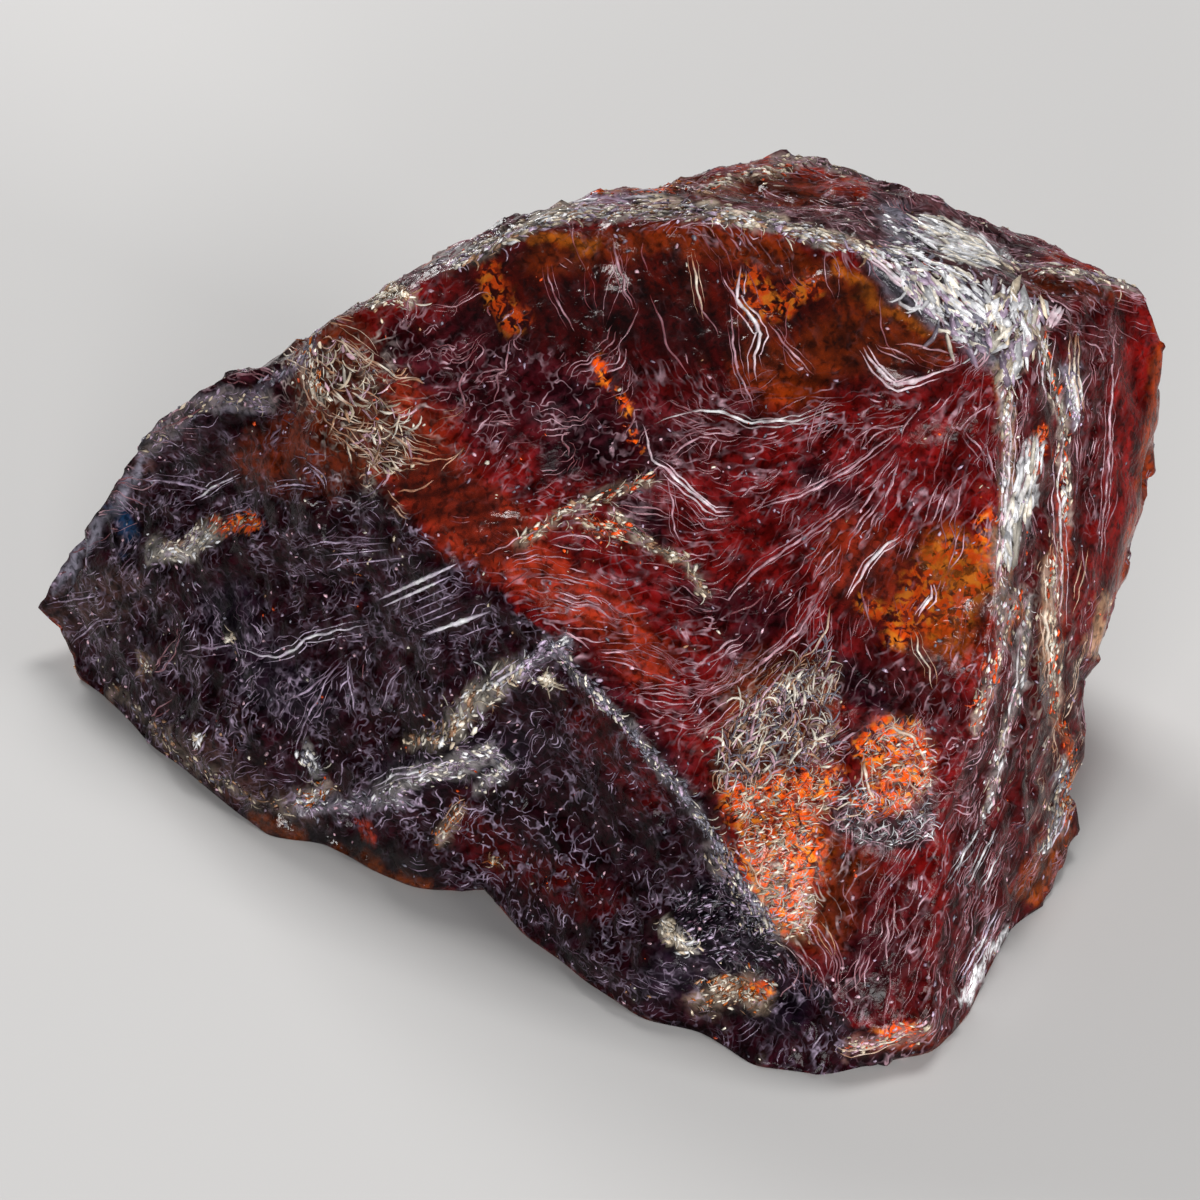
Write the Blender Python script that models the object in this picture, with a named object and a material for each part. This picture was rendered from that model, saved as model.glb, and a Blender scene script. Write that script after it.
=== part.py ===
"""A broken sphalerite crystal: one solid, lying on its flat cleavage face.

Lengths are in millimetres until the mesh is made, which is in metres, +Z up. The stone is laid out as an eye
above the front of the table sees it. The hidden back is laid out in the stone's own axes.
"""

import math

import bmesh
import bpy
from mathutils import Vector, noise

MM = 0.001

# The eye that the front is laid out from
EYE_ELEVATION = math.radians(35)
EYE_DISTANCE = 300.0
EYE_LEVEL = 14.25

# The longest edge of the mesh on the faces that show most, and on the others
FINE_EDGE = 0.98
COARSE_EDGE = 1.42
FLAT_EDGE = 60.0
# Shorter edges than this, where a cut passes a corner closely, are closed up
SHORTEST_EDGE = 0.25

# How far broken edges wander from a straight line, and how long their bends are
WANDER = 0.16
WANDER_SIZE = 1.9
WANDER_SEED = 5

# Relief fades in over this distance from an edge, so that the edges stay crisp
EDGE_BLEND = 1.1
# How far one round of smoothing draws a vertex to the middle of its neighbours
SMOOTHING = 0.5
ROUNDS_WHILE_REFINING = 2
SMOOTHING_ROUNDS = 30
# No point but the resting face's own comes nearer to the table
CLEARANCE = 0.04


def seen(across, up, near):
    """A corner as the eye sees it: to the right, up the picture from the lowest corner, and towards the eye."""
    shrink = 1 - near / EYE_DISTANCE
    height = EYE_LEVEL + (up - EYE_LEVEL) * shrink
    sine, cosine = math.sin(EYE_ELEVATION), math.cos(EYE_ELEVATION)
    return Vector((across * shrink, height * sine - near * cosine, height * cosine + near * sine))


def on_table(across, up):
    """A corner that rests on the table where the eye sees it."""
    sine, cosine = math.sin(EYE_ELEVATION), math.cos(EYE_ELEVATION)
    near = -up * cosine / (sine - (up - EYE_LEVEL) * cosine / EYE_DISTANCE)
    corner = seen(across, up, near)
    corner.z = 0
    return corner


def picture_place(point):
    """Where the eye sees a point: (across, up)."""
    sine, cosine = math.sin(EYE_ELEVATION), math.cos(EYE_ELEVATION)
    near = point.z * sine - point.y * cosine
    height = point.y * sine + point.z * cosine
    shrink = 1 - near / EYE_DISTANCE
    return point.x / shrink, EYE_LEVEL + (height - EYE_LEVEL) / shrink


# Corners along each edge of the stone
CORNERS = {
    # The crown, from the left tip over the top to the right-hand corner
    "crown": [
        seen(-17.1, 13.7, -17.0),
        seen(-15.7, 16.2, -14.8),
        seen(-14.4, 17.8, -12.6),
        seen(-13.5, 19.3, -10.8),
        seen(-12.0, 20.5, -9.0),
        seen(-9.7, 21.3, -7.4),
        seen(-8.9, 21.7, -6.8),
        seen(-8.5, 22.4, -6.2),
        seen(-6.8, 23.4, -6.3),
        seen(-4.8, 24.4, -6.5),
        seen(-2.6, 25.7, -6.8),
        seen(0.0, 26.5, -7.4),
        seen(2.9, 26.9, -8.6),
        seen(4.7, 27.6, -10.0),
        seen(6.0, 27.6, -10.6),
        seen(8.4, 26.8, -10.6),
        seen(10.3, 25.9, -10.4),
        seen(12.6, 25.4, -10.4),
        seen(15.3, 24.3, -9.4),
        seen(17.1, 23.1, -8.6),
    ],
    # The right-hand outline, from the crown down to the table
    "flank": [
        seen(16.8, 20.6, -8.8),
        seen(16.2, 17.3, -9.0),
        seen(15.5, 14.3, -9.0),
        seen(14.6, 11.8, -8.6),
        seen(14.6, 10.1, -8.0),
        seen(14.1, 8.6, -8.2),
        seen(14.3, 7.4, -8.6),
        on_table(13.3, 5.1),
        on_table(12.2, 4.3),
        seen(11.6, 3.7, -3.6),
        seen(11.1, 2.4, -2.4),
    ],
    # The resting face's front outline, from the right to the left
    "foot": [
        on_table(10.9, 1.5),
        on_table(10.1, 0.7),
        on_table(8.8, 0.45),
        on_table(6.75, 0.0),
        on_table(4.7, 0.3),
        on_table(2.9, 1.3),
        on_table(1.35, 1.65),
        on_table(-0.5, 2.8),
        on_table(-2.4, 4.3),
        on_table(-3.5, 5.6),
        on_table(-5.4, 5.55),
        on_table(-6.75, 6.1),
        on_table(-8.4, 7.0),
        on_table(-10.0, 7.15),
        on_table(-11.3, 8.2),
        on_table(-13.4, 9.8),
        on_table(-14.9, 11.4),
        on_table(-16.2, 12.3),
    ],
    # Its hidden outline, from the left round the back to the right
    "heel": [
        Vector((-13.2, 25.2, 0)),
        Vector((-6.0, 27.2, 0)),
        Vector((3.0, 27.6, 0)),
        Vector((10.0, 24.2, 0)),
        Vector((13.4, 17.5, 0)),
        Vector((13.9, 12.8, 0)),
    ],
    # The main face's edge with the dark face, from the notch down to the front
    "ridge": [
        seen(-8.3, 20.4, -5.2),
        seen(-7.65, 18.75, -4.6),
        seen(-6.0, 16.65, -3.6),
        seen(-4.8, 15.6, -2.9),
        seen(-3.2, 15.1, -2.2),
        seen(-2.0, 13.6, -1.4),
        seen(-0.5, 11.85, -0.8),
        seen(1.1, 9.9, -0.1),
        seen(3.05, 7.5, 0.6),
        seen(4.8, 4.85, 1.1),
        seen(5.3, 4.05, 1.2),
        seen(6.5, 3.0, 1.3),
        seen(7.65, 1.4, 1.0),
    ],
    # The lower side of the chipped strip that runs along the ridge
    "chip": [
        seen(-0.85, 11.2, -1.5),
        seen(0.65, 9.3, -1.0),
        seen(2.6, 6.9, -0.4),
        seen(4.2, 4.5, 0.2),
        seen(4.7, 3.5, 0.2),
        seen(5.9, 2.3, 0.4),
        seen(7.0, 0.9, 0.4),
    ],
    # The main face's right-hand edge, from the front up
    "spine": [
        seen(9.85, 1.35, 0.2),
        seen(9.9, 3.7, 0.3),
        seen(10.25, 7.55, 0.5),
        seen(11.25, 10.65, 0.5),
        seen(11.9, 15.1, 0.3),
        seen(11.65, 17.0, 0.0),
        seen(12.1, 20.2, -0.8),
        seen(12.1, 20.95, -1.0),
    ],
    # The main face's top edge, from the right to the left
    "brow": [
        seen(10.65, 22.1, -1.6),
        seen(8.55, 23.8, -2.4),
        seen(7.8, 24.75, -2.8),
        seen(4.1, 25.9, -3.6),
        seen(0.9, 25.45, -4.0),
        seen(-2.2, 25.35, -4.6),
        seen(-4.5, 24.1, -4.9),
        seen(-6.15, 23.25, -5.1),
    ],
    # The small bright facet at the top right
    "facet": [
        seen(8.75, 24.75, -3.2),
        seen(11.6, 23.9, -3.0),
        seen(13.05, 23.2, -3.0),
        seen(12.65, 21.6, -1.6),
    ],
    # The step along the top, from the left to the right
    "step": [
        seen(0.0, 26.1, -5.8),
        seen(3.0, 26.35, -6.4),
        seen(6.0, 26.05, -7.0),
        seen(8.4, 26.15, -7.0),
        seen(10.05, 25.6, -7.0),
        seen(12.0, 24.5, -6.9),
    ],
    # Where the top meets the right-hand wall
    "shoulder": [seen(14.1, 23.1, -4.4), seen(15.3, 23.85, -7.0)],
    # The edge down the right-hand wall
    "corner": [
        seen(14.25, 19.65, -4.9),
        seen(13.85, 15.45, -5.2),
        seen(14.0, 12.75, -5.6),
        seen(13.5, 9.45, -5.4),
        seen(13.35, 6.75, -5.9),
    ],
    # Halfway up the back, from the left to the right
    "belt": [
        Vector((-14.4, 24.6, 5.2)),
        Vector((-8.6, 27.0, 8.4)),
        Vector((-0.5, 29.6, 8.2)),
        Vector((10.2, 28.4, 8.0)),
        Vector((16.0, 20.6, 6.6)),
    ],
    # A broken corner high on the back
    "scar": [Vector((2.6, 27.4, 13.4)), Vector((8.8, 27.6, 13.2)), Vector((-5.2, 25.4, 12.6))],
}

# Each face as runs of corners, in order round it: (edge, first corner, last corner)
FACES = {
    "main_face": [("ridge", 0, 12), ("spine", 0, 7), ("brow", 0, 7), ("crown", 7, 7)],
    "ridge_strip": [("ridge", 12, 5), ("chip", 0, 6)],
    "dark_face": [("chip", 6, 0), ("ridge", 5, 0), ("crown", 7, 0), ("foot", 17, 3)],
    "sill": [("ridge", 12, 12), ("chip", 6, 6), ("foot", 3, 0), ("spine", 0, 0)],
    "bright_facet": [("spine", 7, 7), ("facet", 3, 0), ("brow", 2, 0)],
    "top_front": [
        ("crown", 7, 10),
        ("step", 0, 5),
        ("shoulder", 0, 0),
        ("facet", 2, 0),
        ("brow", 2, 7),
    ],
    "top_back": [("crown", 10, 19), ("shoulder", 1, 0), ("step", 5, 0)],
    "right_front": [
        ("spine", 0, 7),
        ("facet", 3, 2),
        ("shoulder", 0, 0),
        ("corner", 0, 4),
        ("flank", 8, 10),
        ("foot", 0, 0),
    ],
    "right_wall": [("shoulder", 0, 1), ("crown", 19, 19), ("flank", 0, 3), ("corner", 2, 0)],
    "right_foot": [("corner", 2, 2), ("flank", 3, 8), ("corner", 4, 3)],
    "right_toe": [("flank", 6, 6), ("heel", 5, 5), ("flank", 7, 7)],
    "right_lip": [("flank", 8, 10), ("foot", 0, 0)],
    "left_end": [("crown", 0, 3), ("belt", 0, 0)],
    "left_toe": [("crown", 0, 0), ("belt", 0, 0), ("heel", 0, 0), ("foot", 17, 17)],
    "back_left": [("crown", 3, 10), ("scar", 2, 2), ("belt", 1, 0)],
    "back_scar": [("crown", 10, 14), ("scar", 1, 0), ("scar", 2, 2)],
    "back_right": [("crown", 14, 18), ("belt", 3, 3), ("scar", 1, 1)],
    "back_middle": [("scar", 2, 2), ("scar", 0, 1), ("belt", 3, 1)],
    "right_back": [("crown", 18, 19), ("flank", 0, 3), ("belt", 4, 3)],
    "low_left": [("belt", 0, 1), ("heel", 1, 0)],
    "low_middle": [("belt", 1, 2), ("heel", 2, 1)],
    "low_right": [("belt", 2, 3), ("heel", 3, 2)],
    "low_corner": [("belt", 3, 4), ("heel", 4, 3)],
    "low_flank": [("belt", 4, 4), ("flank", 3, 6), ("heel", 5, 4)],
    "resting_face": [("foot", 0, 17), ("heel", 0, 5), ("flank", 7, 8)],
}

# Cleavage planes that cut corners off the hidden side: name, a point on the plane, the way that it faces
CLEAVAGES = [
    ("cleaved_left", Vector((-6.0, 24.6, 10.0)), Vector((-0.45, 0.80, 0.40))),
    ("cleaved_back", Vector((3.0, 28.0, 9.0)), Vector((0.12, 0.97, 0.22))),
    ("cleaved_right", Vector((10.4, 25.9, 8.6)), Vector((0.62, 0.77, 0.10))),
    ("cleaved_corner", Vector((15.6, 20.4, 6.2)), Vector((0.90, 0.36, -0.26))),
    ("undercut_left", Vector((-9.0, 25.6, 2.2)), Vector((-0.30, 0.72, -0.62))),
    ("undercut_right", Vector((9.0, 25.6, 1.8)), Vector((0.45, 0.60, -0.66))),
]
FACE_NAMES = list(FACES) + [name for name, point, facing in CLEAVAGES]
FINE_FACES = {
    "main_face",
    "ridge_strip",
    "dark_face",
    "sill",
    "bright_facet",
    "top_front",
    "top_back",
    "right_front",
    "right_wall",
    "right_foot",
}

# Hollows and swellings on the front, as the eye sees them: across, up, radius, height
SWELLINGS = [
    (2.4, 18.0, 8.0, -0.75),
    (9.2, 17.0, 3.6, -0.35),
    (4.4, 13.2, 3.0, -0.45),
    (-3.6, 18.2, 3.8, 0.45),
    (5.4, 7.4, 3.0, 0.40),
    (8.9, 8.8, 2.2, 0.30),
    (-12.4, 17.6, 2.8, -0.45),
    (-12.9, 15.4, 2.2, 0.45),
    (-7.2, 13.6, 3.4, -0.40),
    (-4.2, 10.6, 3.0, 0.50),
    (-0.6, 7.6, 3.4, -0.55),
    (1.8, 3.8, 2.6, 0.35),
    (-10.4, 10.4, 2.6, 0.40),
    (9.6, 23.5, 1.3, 0.55),
    (0.3, 24.6, 1.2, 0.35),
    (4.3, 3.0, 0.9, -0.50),
    (3.9, 4.5, 1.2, 0.30),
]

# Thin raised veins and ledges on the front: points (across, up), half width, height
VEINS = [
    ([(-3.2, 15.4), (-1.4, 16.2), (0.2, 17.1), (1.4, 17.9), (2.1, 18.5)], 0.45, 0.30),
    ([(-0.8, 16.6), (1.0, 15.6), (2.5, 14.9), (3.3, 14.2)], 0.40, 0.24),
    ([(4.2, 24.4), (4.3, 23.2), (5.0, 22.2), (4.8, 20.9), (5.0, 19.6)], 0.35, 0.26),
    ([(8.4, 20.6), (9.3, 19.6), (10.6, 20.0), (11.7, 20.8)], 0.42, 0.30),
    ([(-6.6, 7.8), (-5.0, 9.4), (-3.6, 10.4), (-2.2, 12.0)], 0.55, 0.34),
    ([(-11.6, 15.6), (-9.6, 16.2), (-8.0, 17.2)], 0.50, 0.32),
    ([(-6.3, 13.4), (-3.7, 14.4)], 0.35, 0.22),
    ([(-4.9, 12.7), (-3.0, 13.0)], 0.35, 0.22),
    ([(12.2, 17.8), (11.5, 15.2), (11.2, 14.4)], 0.45, 0.35),
    ([(8.0, 9.6), (9.0, 8.8), (9.1, 7.6)], 0.60, 0.28),
    ([(3.6, 8.2), (4.6, 6.8), (5.6, 5.2)], 0.70, 0.26),
    ([(3.0, 13.5), (3.6, 11.3), (6.2, 12.0), (8.4, 11.0), (10.6, 10.9)], 0.55, 0.26),
]

# A vein ends at this many half widths from its middle
VEIN_REACH = 1.5

# Shell-shaped scars on the faces that are out of the eye's sight: centre, radius, depth
SCARS = [
    (Vector((-9.6, 24.2, 10.6)), 3.6, 0.7),
    (Vector((6.0, 28.2, 4.5)), 4.4, 1.0),
    (Vector((14.5, 23.5, 11.0)), 3.6, 0.8),
    (Vector((-3.5, 28.6, 3.0)), 3.4, 0.7),
    (Vector((-16.0, 24.0, 3.5)), 2.6, 0.5),
]

# Cleavage steps: face, the direction that they climb in, their width and their height
STEPS = {
    "right_front": (Vector((0.75, 0.62, 0.2)), 1.5, 0.34),
    "right_wall": (Vector((0.3, 0.9, 0.1)), 2.2, 0.22),
    "top_front": (Vector((0.25, 0.95, -0.2)), 1.5, 0.24),
    "top_back": (Vector((0.45, 0.85, -0.2)), 1.9, 0.30),
    "dark_face": (Vector((-0.35, 0.25, 0.9)), 3.2, 0.30),
    "cleaved_left": (Vector((0.5, 0.1, 0.86)), 3.2, 0.50),
    "cleaved_back": (Vector((0.86, 0.0, 0.5)), 3.6, 0.55),
    "cleaved_right": (Vector((-0.5, 0.2, 0.84)), 3.0, 0.45),
    "right_back": (Vector((0.2, 0.6, 0.77)), 3.0, 0.40),
    "low_middle": (Vector((0.6, 0.0, 0.8)), 3.2, 0.45),
    "cleaved_corner": (Vector((-0.3, 0.3, 0.9)), 2.8, 0.40),
}

# The share of a step that is tread, the size of the bends in the steps, and of the patches where they fade
TREAD_SHARE = 0.8
STEP_BEND = 4.5
STEP_PATCH = 3.4
# How strong the steps are on average, from 0 to 1
STEP_STRENGTH = 0.8

# Uneven fracture on every face: the size of its lumps, and their height
LUMPS = [(3.4, 0.26), (1.6, 0.08)]

# The plain material: linear colour, gloss and sphalerite's index of refraction
BODY_COLOUR = (0.16, 0.012, 0.008, 1)
ROUGHNESS = 0.18
REFRACTION = 2.37


def smooth_share(value):
    """0 to 1 with soft ends."""
    value = min(1.0, max(0.0, value))
    return value * value * (3 - 2 * value)


def cage():
    """The bare polyhedron, with each face's number as its material number."""
    bm = bmesh.new()
    made = {edge: [bm.verts.new(p) for p in points] for edge, points in CORNERS.items()}
    for number, runs in enumerate(FACES.values()):
        loop = []
        for edge, first, last in runs:
            way = 1 if last >= first else -1
            loop += made[edge][first : (last + way) if last + way >= 0 else None : way]
        face = bm.faces.new(loop)
        face.material_index = number
    bmesh.ops.triangulate(bm, faces=bm.faces[:], ngon_method="BEAUTY")
    bmesh.ops.recalc_face_normals(bm, faces=bm.faces[:])
    return bm


def cleave(bm):
    """Cuts a flat face across each corner that a cleavage plane passes."""
    for name, point, facing in CLEAVAGES:
        geometry = bm.verts[:] + bm.edges[:] + bm.faces[:]
        cut = bmesh.ops.bisect_plane(
            bm, geom=geometry, plane_co=point, plane_no=facing, clear_outer=True
        )
        rim = [item for item in cut["geom_cut"] if isinstance(item, bmesh.types.BMEdge)]
        made = bmesh.ops.edgeloop_fill(bm, edges=rim)["faces"]
        for face in made:
            face.material_index = FACE_NAMES.index(name)
        bmesh.ops.triangulate(bm, faces=made, ngon_method="BEAUTY")
    bmesh.ops.dissolve_degenerate(bm, dist=SHORTEST_EDGE, edges=bm.edges[:])
    bmesh.ops.recalc_face_normals(bm, faces=bm.faces[:])


def on_feature(edge):
    """True for an edge between two of the stone's faces."""
    return len({face.material_index for face in edge.link_faces}) > 1


def longest_edge(edge):
    """The longest that this edge may be, from the finest face beside it."""
    names = {FACE_NAMES[face.material_index] for face in edge.link_faces}
    if names & FINE_FACES:
        return FINE_EDGE
    return FLAT_EDGE if names == {"resting_face"} else COARSE_EDGE


def refine(bm):
    """Halves long edges until none is left, and keeps the triangles well shaped."""
    while True:
        long_edges = [edge for edge in bm.edges if edge.calc_length() > longest_edge(edge)]
        if not long_edges:
            return
        bmesh.ops.subdivide_edges(bm, edges=long_edges, cuts=1)
        bmesh.ops.triangulate(bm, faces=bm.faces[:])
        inner = [edge for edge in bm.edges if not on_feature(edge)]
        bmesh.ops.beautify_fill(bm, faces=bm.faces[:], edges=inner)
        relax(bm, ROUNDS_WHILE_REFINING)


def relax(bm, rounds):
    """Draws each face between its edges like a film."""
    fixed = {vert for edge in bm.edges if on_feature(edge) for vert in edge.verts}
    free = [vert for vert in bm.verts if vert not in fixed]
    for _ in range(rounds):
        bmesh.ops.smooth_vert(
            bm, verts=free, factor=SMOOTHING, use_axis_x=True, use_axis_y=True, use_axis_z=True
        )


def edge_distances(bm):
    """Each vertex's distance to the nearest edge between faces."""
    ends = [vert.co.copy() for vert in {v for e in bm.edges if on_feature(e) for v in e.verts}]
    return {vert: min((vert.co - end).length for end in ends) for vert in bm.verts}


def swelling(place):
    """The height that hollows and swellings give the front at a place in the eye's picture."""
    height = 0.0
    for across, up, radius, rise in SWELLINGS:
        share = math.dist(place, (across, up)) / radius
        height += rise * smooth_share(1 - share)
    return height


def vein(place):
    """The height of the raised veins at a place in the eye's picture."""
    height = 0.0
    spot = Vector(place)
    for points, half_width, rise in VEINS:
        for start, end in zip(points, points[1:]):
            a, b = Vector(start), Vector(end)
            along = max(0.0, min(1.0, (spot - a).dot(b - a) / (b - a).length_squared))
            share = (spot - a.lerp(b, along)).length / half_width
            height = max(height, rise * smooth_share(VEIN_REACH - share))
    return height


def scar(point):
    """The depth of the shell-shaped scars."""
    depth = 0.0
    for centre, radius, deepest in SCARS:
        share = (point - centre).length / radius
        depth = max(depth, deepest * (1 - share * share))
    return depth


def steps(point, name):
    """A flight of cleavage steps: long treads that rise, and short drops. It comes and goes along the face."""
    if name not in STEPS:
        return 0.0
    direction, width, height = STEPS[name]
    flight = point.dot(direction.normalized()) / width + noise.noise(point / STEP_BEND)
    tread = flight - math.floor(flight)
    profile = min(tread / TREAD_SHARE, (1 - tread) / (1 - TREAD_SHARE))
    strength = smooth_share(STEP_STRENGTH + noise.noise(point / STEP_PATCH))
    return height * profile * strength


def lumps(point):
    """Uneven fracture."""
    return sum(height * noise.noise(point / size) for size, height in LUMPS)


def wander(point):
    """How far a broken edge strays from its straight line."""
    return WANDER * noise.noise_vector(point / WANDER_SIZE)


def relief(point, name):
    """The height of a face's relief above its film, along its normal."""
    height = lumps(point) + steps(point, name)
    if name in FINE_FACES:
        place = picture_place(point)
        return height + swelling(place) + vein(place)
    return height - scar(point)


def face_names(vert):
    """The names of the stone's faces that meet at a vertex."""
    return {FACE_NAMES[face.material_index] for face in vert.link_faces}


def carve(bm):
    """Gives the stone its relief. The resting face stays flat."""
    bm.normal_update()
    distances = edge_distances(bm)
    moves = {}
    for vert in bm.verts:
        names = face_names(vert)
        move = wander(vert.co)
        if len(names) == 1:
            fade = smooth_share(distances[vert] / EDGE_BLEND)
            move += vert.normal * relief(vert.co, names.pop()) * fade
        moves[vert] = move
    for vert, move in moves.items():
        if "resting_face" in face_names(vert):
            vert.co.xy += move.xy
        else:
            vert.co += move
            vert.co.z = max(vert.co.z, CLEARANCE)


def stand_on_origin(bm):
    """Puts the origin under the middle of the stone, on the table."""
    low = Vector([min(vert.co[axis] for vert in bm.verts) for axis in range(3)])
    high = Vector([max(vert.co[axis] for vert in bm.verts) for axis in range(3)])
    middle = (low + high) / 2
    bmesh.ops.translate(bm, verts=bm.verts, vec=(-middle.x, -middle.y, -low.z))


def sphalerite_material():
    """Deep red, with the gloss of a resin."""
    material = bpy.data.materials.new("sphalerite")
    material.use_nodes = True
    shader = material.node_tree.nodes["Principled BSDF"]
    shader.inputs["Base Color"].default_value = BODY_COLOUR
    shader.inputs["Roughness"].default_value = ROUGHNESS
    shader.inputs["Metallic"].default_value = 0.0
    shader.inputs["IOR"].default_value = REFRACTION
    return material


def build_crystal():
    """The crystal, as one closed mesh."""
    noise.seed_set(WANDER_SEED)
    bm = cage()
    cleave(bm)
    refine(bm)
    relax(bm, SMOOTHING_ROUNDS)
    carve(bm)
    stand_on_origin(bm)
    for face in bm.faces:
        face.material_index = 0
    bmesh.ops.scale(bm, verts=bm.verts, vec=(MM, MM, MM))
    bmesh.ops.recalc_face_normals(bm, faces=bm.faces[:])
    mesh = bpy.data.meshes.new("sphalerite_crystal")
    bm.to_mesh(mesh)
    bm.free()
    mesh.materials.append(sphalerite_material())
    crystal = bpy.data.objects.new("sphalerite_crystal", mesh)
    bpy.context.scene.collection.objects.link(crystal)
    return crystal


for old in list(bpy.data.objects):
    bpy.data.objects.remove(old)
build_crystal()
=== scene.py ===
"""The looks of a broken sphalerite crystal: deep red and purple, with cream crusts along its rims.

Places on the side that faces the camera are pixels of the 1200 x 1200 photograph, and each is carried onto
the stone along the camera's line of sight. Lengths are in millimetres until they reach Blender, which has
metres.
"""

import math
import random

import bmesh
import bpy
import numpy as np
from mathutils import Matrix, Vector, noise
from mathutils.bvhtree import BVHTree
from mathutils.kdtree import KDTree

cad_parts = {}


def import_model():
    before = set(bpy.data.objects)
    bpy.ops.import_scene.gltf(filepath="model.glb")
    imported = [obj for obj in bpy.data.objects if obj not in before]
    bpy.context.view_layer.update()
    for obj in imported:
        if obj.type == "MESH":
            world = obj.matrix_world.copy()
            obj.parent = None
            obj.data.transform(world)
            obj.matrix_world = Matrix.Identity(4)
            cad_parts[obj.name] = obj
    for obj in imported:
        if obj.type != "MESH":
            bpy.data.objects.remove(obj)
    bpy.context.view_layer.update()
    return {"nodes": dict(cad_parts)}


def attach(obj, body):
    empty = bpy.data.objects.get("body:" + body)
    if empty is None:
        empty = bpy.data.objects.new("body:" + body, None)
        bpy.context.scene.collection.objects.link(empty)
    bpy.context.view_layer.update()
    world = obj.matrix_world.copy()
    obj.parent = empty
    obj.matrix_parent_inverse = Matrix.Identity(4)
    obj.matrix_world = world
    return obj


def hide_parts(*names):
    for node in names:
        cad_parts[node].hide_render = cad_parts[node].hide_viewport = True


MM = 0.001
SEED = 11

# The photograph's frame and its eye
FRAME_PIXELS = 1200
MM_PER_PIXEL = 0.030
MIDDLE_PIXEL = 600
LOWEST_CORNER_PIXEL = 1075
EYE_ELEVATION = math.radians(35)
EYE_DISTANCE = 300.0
EYE_LEVEL = 14.25
# The stone's lowest corner in the picture, on the table
LAYOUT_ORIGIN = Vector((0.207, -14.558, 0.0))
SENSOR = 36.0

RIGHT = Vector((1, 0, 0))
UP = Vector((0, math.sin(EYE_ELEVATION), math.cos(EYE_ELEVATION)))
TOWARDS = Vector((0, -math.cos(EYE_ELEVATION), math.sin(EYE_ELEVATION)))

# The fine surface
CREASE_ANGLE = math.radians(34)
SUBDIVISIONS = 2
FACETS = 1800
FACET_SLOPE = 0.13
FACET_OFFSET = 0.020
FACET_BLEND = 0.05
FACET_NEIGHBOURS = 3
SMOOTH_FACE_SHARE = 0.35
STRIP_RELIEF_SHARE = 0.2
RIPPLE_HEIGHT = 0.03
RIPPLE_SIZE = 0.75
GRAIN_HEIGHT = 0.016
GRAIN_SIZE = 0.32
LYING_HEIGHT = 0.02

# Where a surface counts as in front, seen or steep: its normal times the way to the camera.
# Where it counts as underneath: the height of its normal.
FRONT_START = -0.02
FRONT_WIDTH = 0.14
SEEN_FROM = 0.05
STEEPEST = 0.25
UNDERSIDE = -0.85

# Noise of the materials: size in mm, detail, distortion, and (noise, grey) stops
MOTTLE = (0.8, 3, 0.0, [(0.32, 0.4), (0.68, 1.55)])
PITS = (0.22, 3, 0.6, [(0.34, 0.35), (0.52, 1.1)])
LINE_PATCHES = (1.1, 2, 0.0, [(0.42, 0.08), (0.62, 1.0)])
LINE_GLINTS = (0.33, 2, 0.0, [(0.40, 0.14), (0.66, 1.0)])
# The painted orange glow: its breaks, and where it turns gold
PAINTED_GLOW_BREAKS = (0.26, 2, 0.8, [(0.44, 0.0), (0.56, 1.0)])
PAINTED_GLOW_GOLD = (0.35, 1, 0.0, [(0.48, 0.0), (0.62, 1.0)])
STONE_ROUGHNESS = (0.45, 2, 0.0, [(0.35, 0.07), (0.7, 0.24)])
LIP_SHADES = (0.28, 3, 0.0, [(0.3, 0.55), (0.7, 1.25)])
LIP_ROUGHNESS = (0.3, 2, 0.0, [(0.3, 0.12), (0.7, 0.34)])
# Relief of the materials: size in mm, detail, distortion, and then strength and depth in mm
STONE_RELIEF = (0.32, 4, 0.8)
STONE_BUMP = (0.7, 0.07)
LIP_RELIEF = (0.12, 3, 0.0)
LIP_BUMP = (0.4, 0.03)
IOR = 1.5
STONE_SPECULAR = 0.06
CLEAR_TRANSMISSION = 0.6
ABSORPTION_COLOUR = (0.75, 0.12, 0.04, 1)
ABSORPTION_DENSITY = 350.0

# Colours, linear
BLACK = (0.004, 0.002, 0.003)
RED = (0.096, 0.0020, 0.0016)
DEEP_RED = (0.040, 0.0012, 0.0012)
BRIGHT_RED = (0.23, 0.018, 0.005)
PURPLE = (0.026, 0.0014, 0.0028)
DARK_PURPLE = (0.0095, 0.0006, 0.0018)
PLUM_BROWN = (0.052, 0.020, 0.022)
BROWN = (0.082, 0.010, 0.0015)
UMBER = (0.034, 0.014, 0.011)
GOLD_BROWN = (0.180, 0.030, 0.001)
EMBER = (0.165, 0.018, 0.001)
DEEP_EMBER = (0.082, 0.0032, 0.0006)
ORANGE = (0.74, 0.075, 0.004)
GOLD = (0.76, 0.20, 0.015)
AMBER = (0.42, 0.095, 0.006)
TAN = (0.32, 0.17, 0.095)
CREAM = (0.66, 0.54, 0.40)
GREY = (0.17, 0.16, 0.20)
SLATE = (0.0065, 0.0030, 0.0070)
WHITE = (0.84, 0.83, 0.85)
LILAC = (0.38, 0.28, 0.38)
BLUE = (0.008, 0.040, 0.100)

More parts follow.
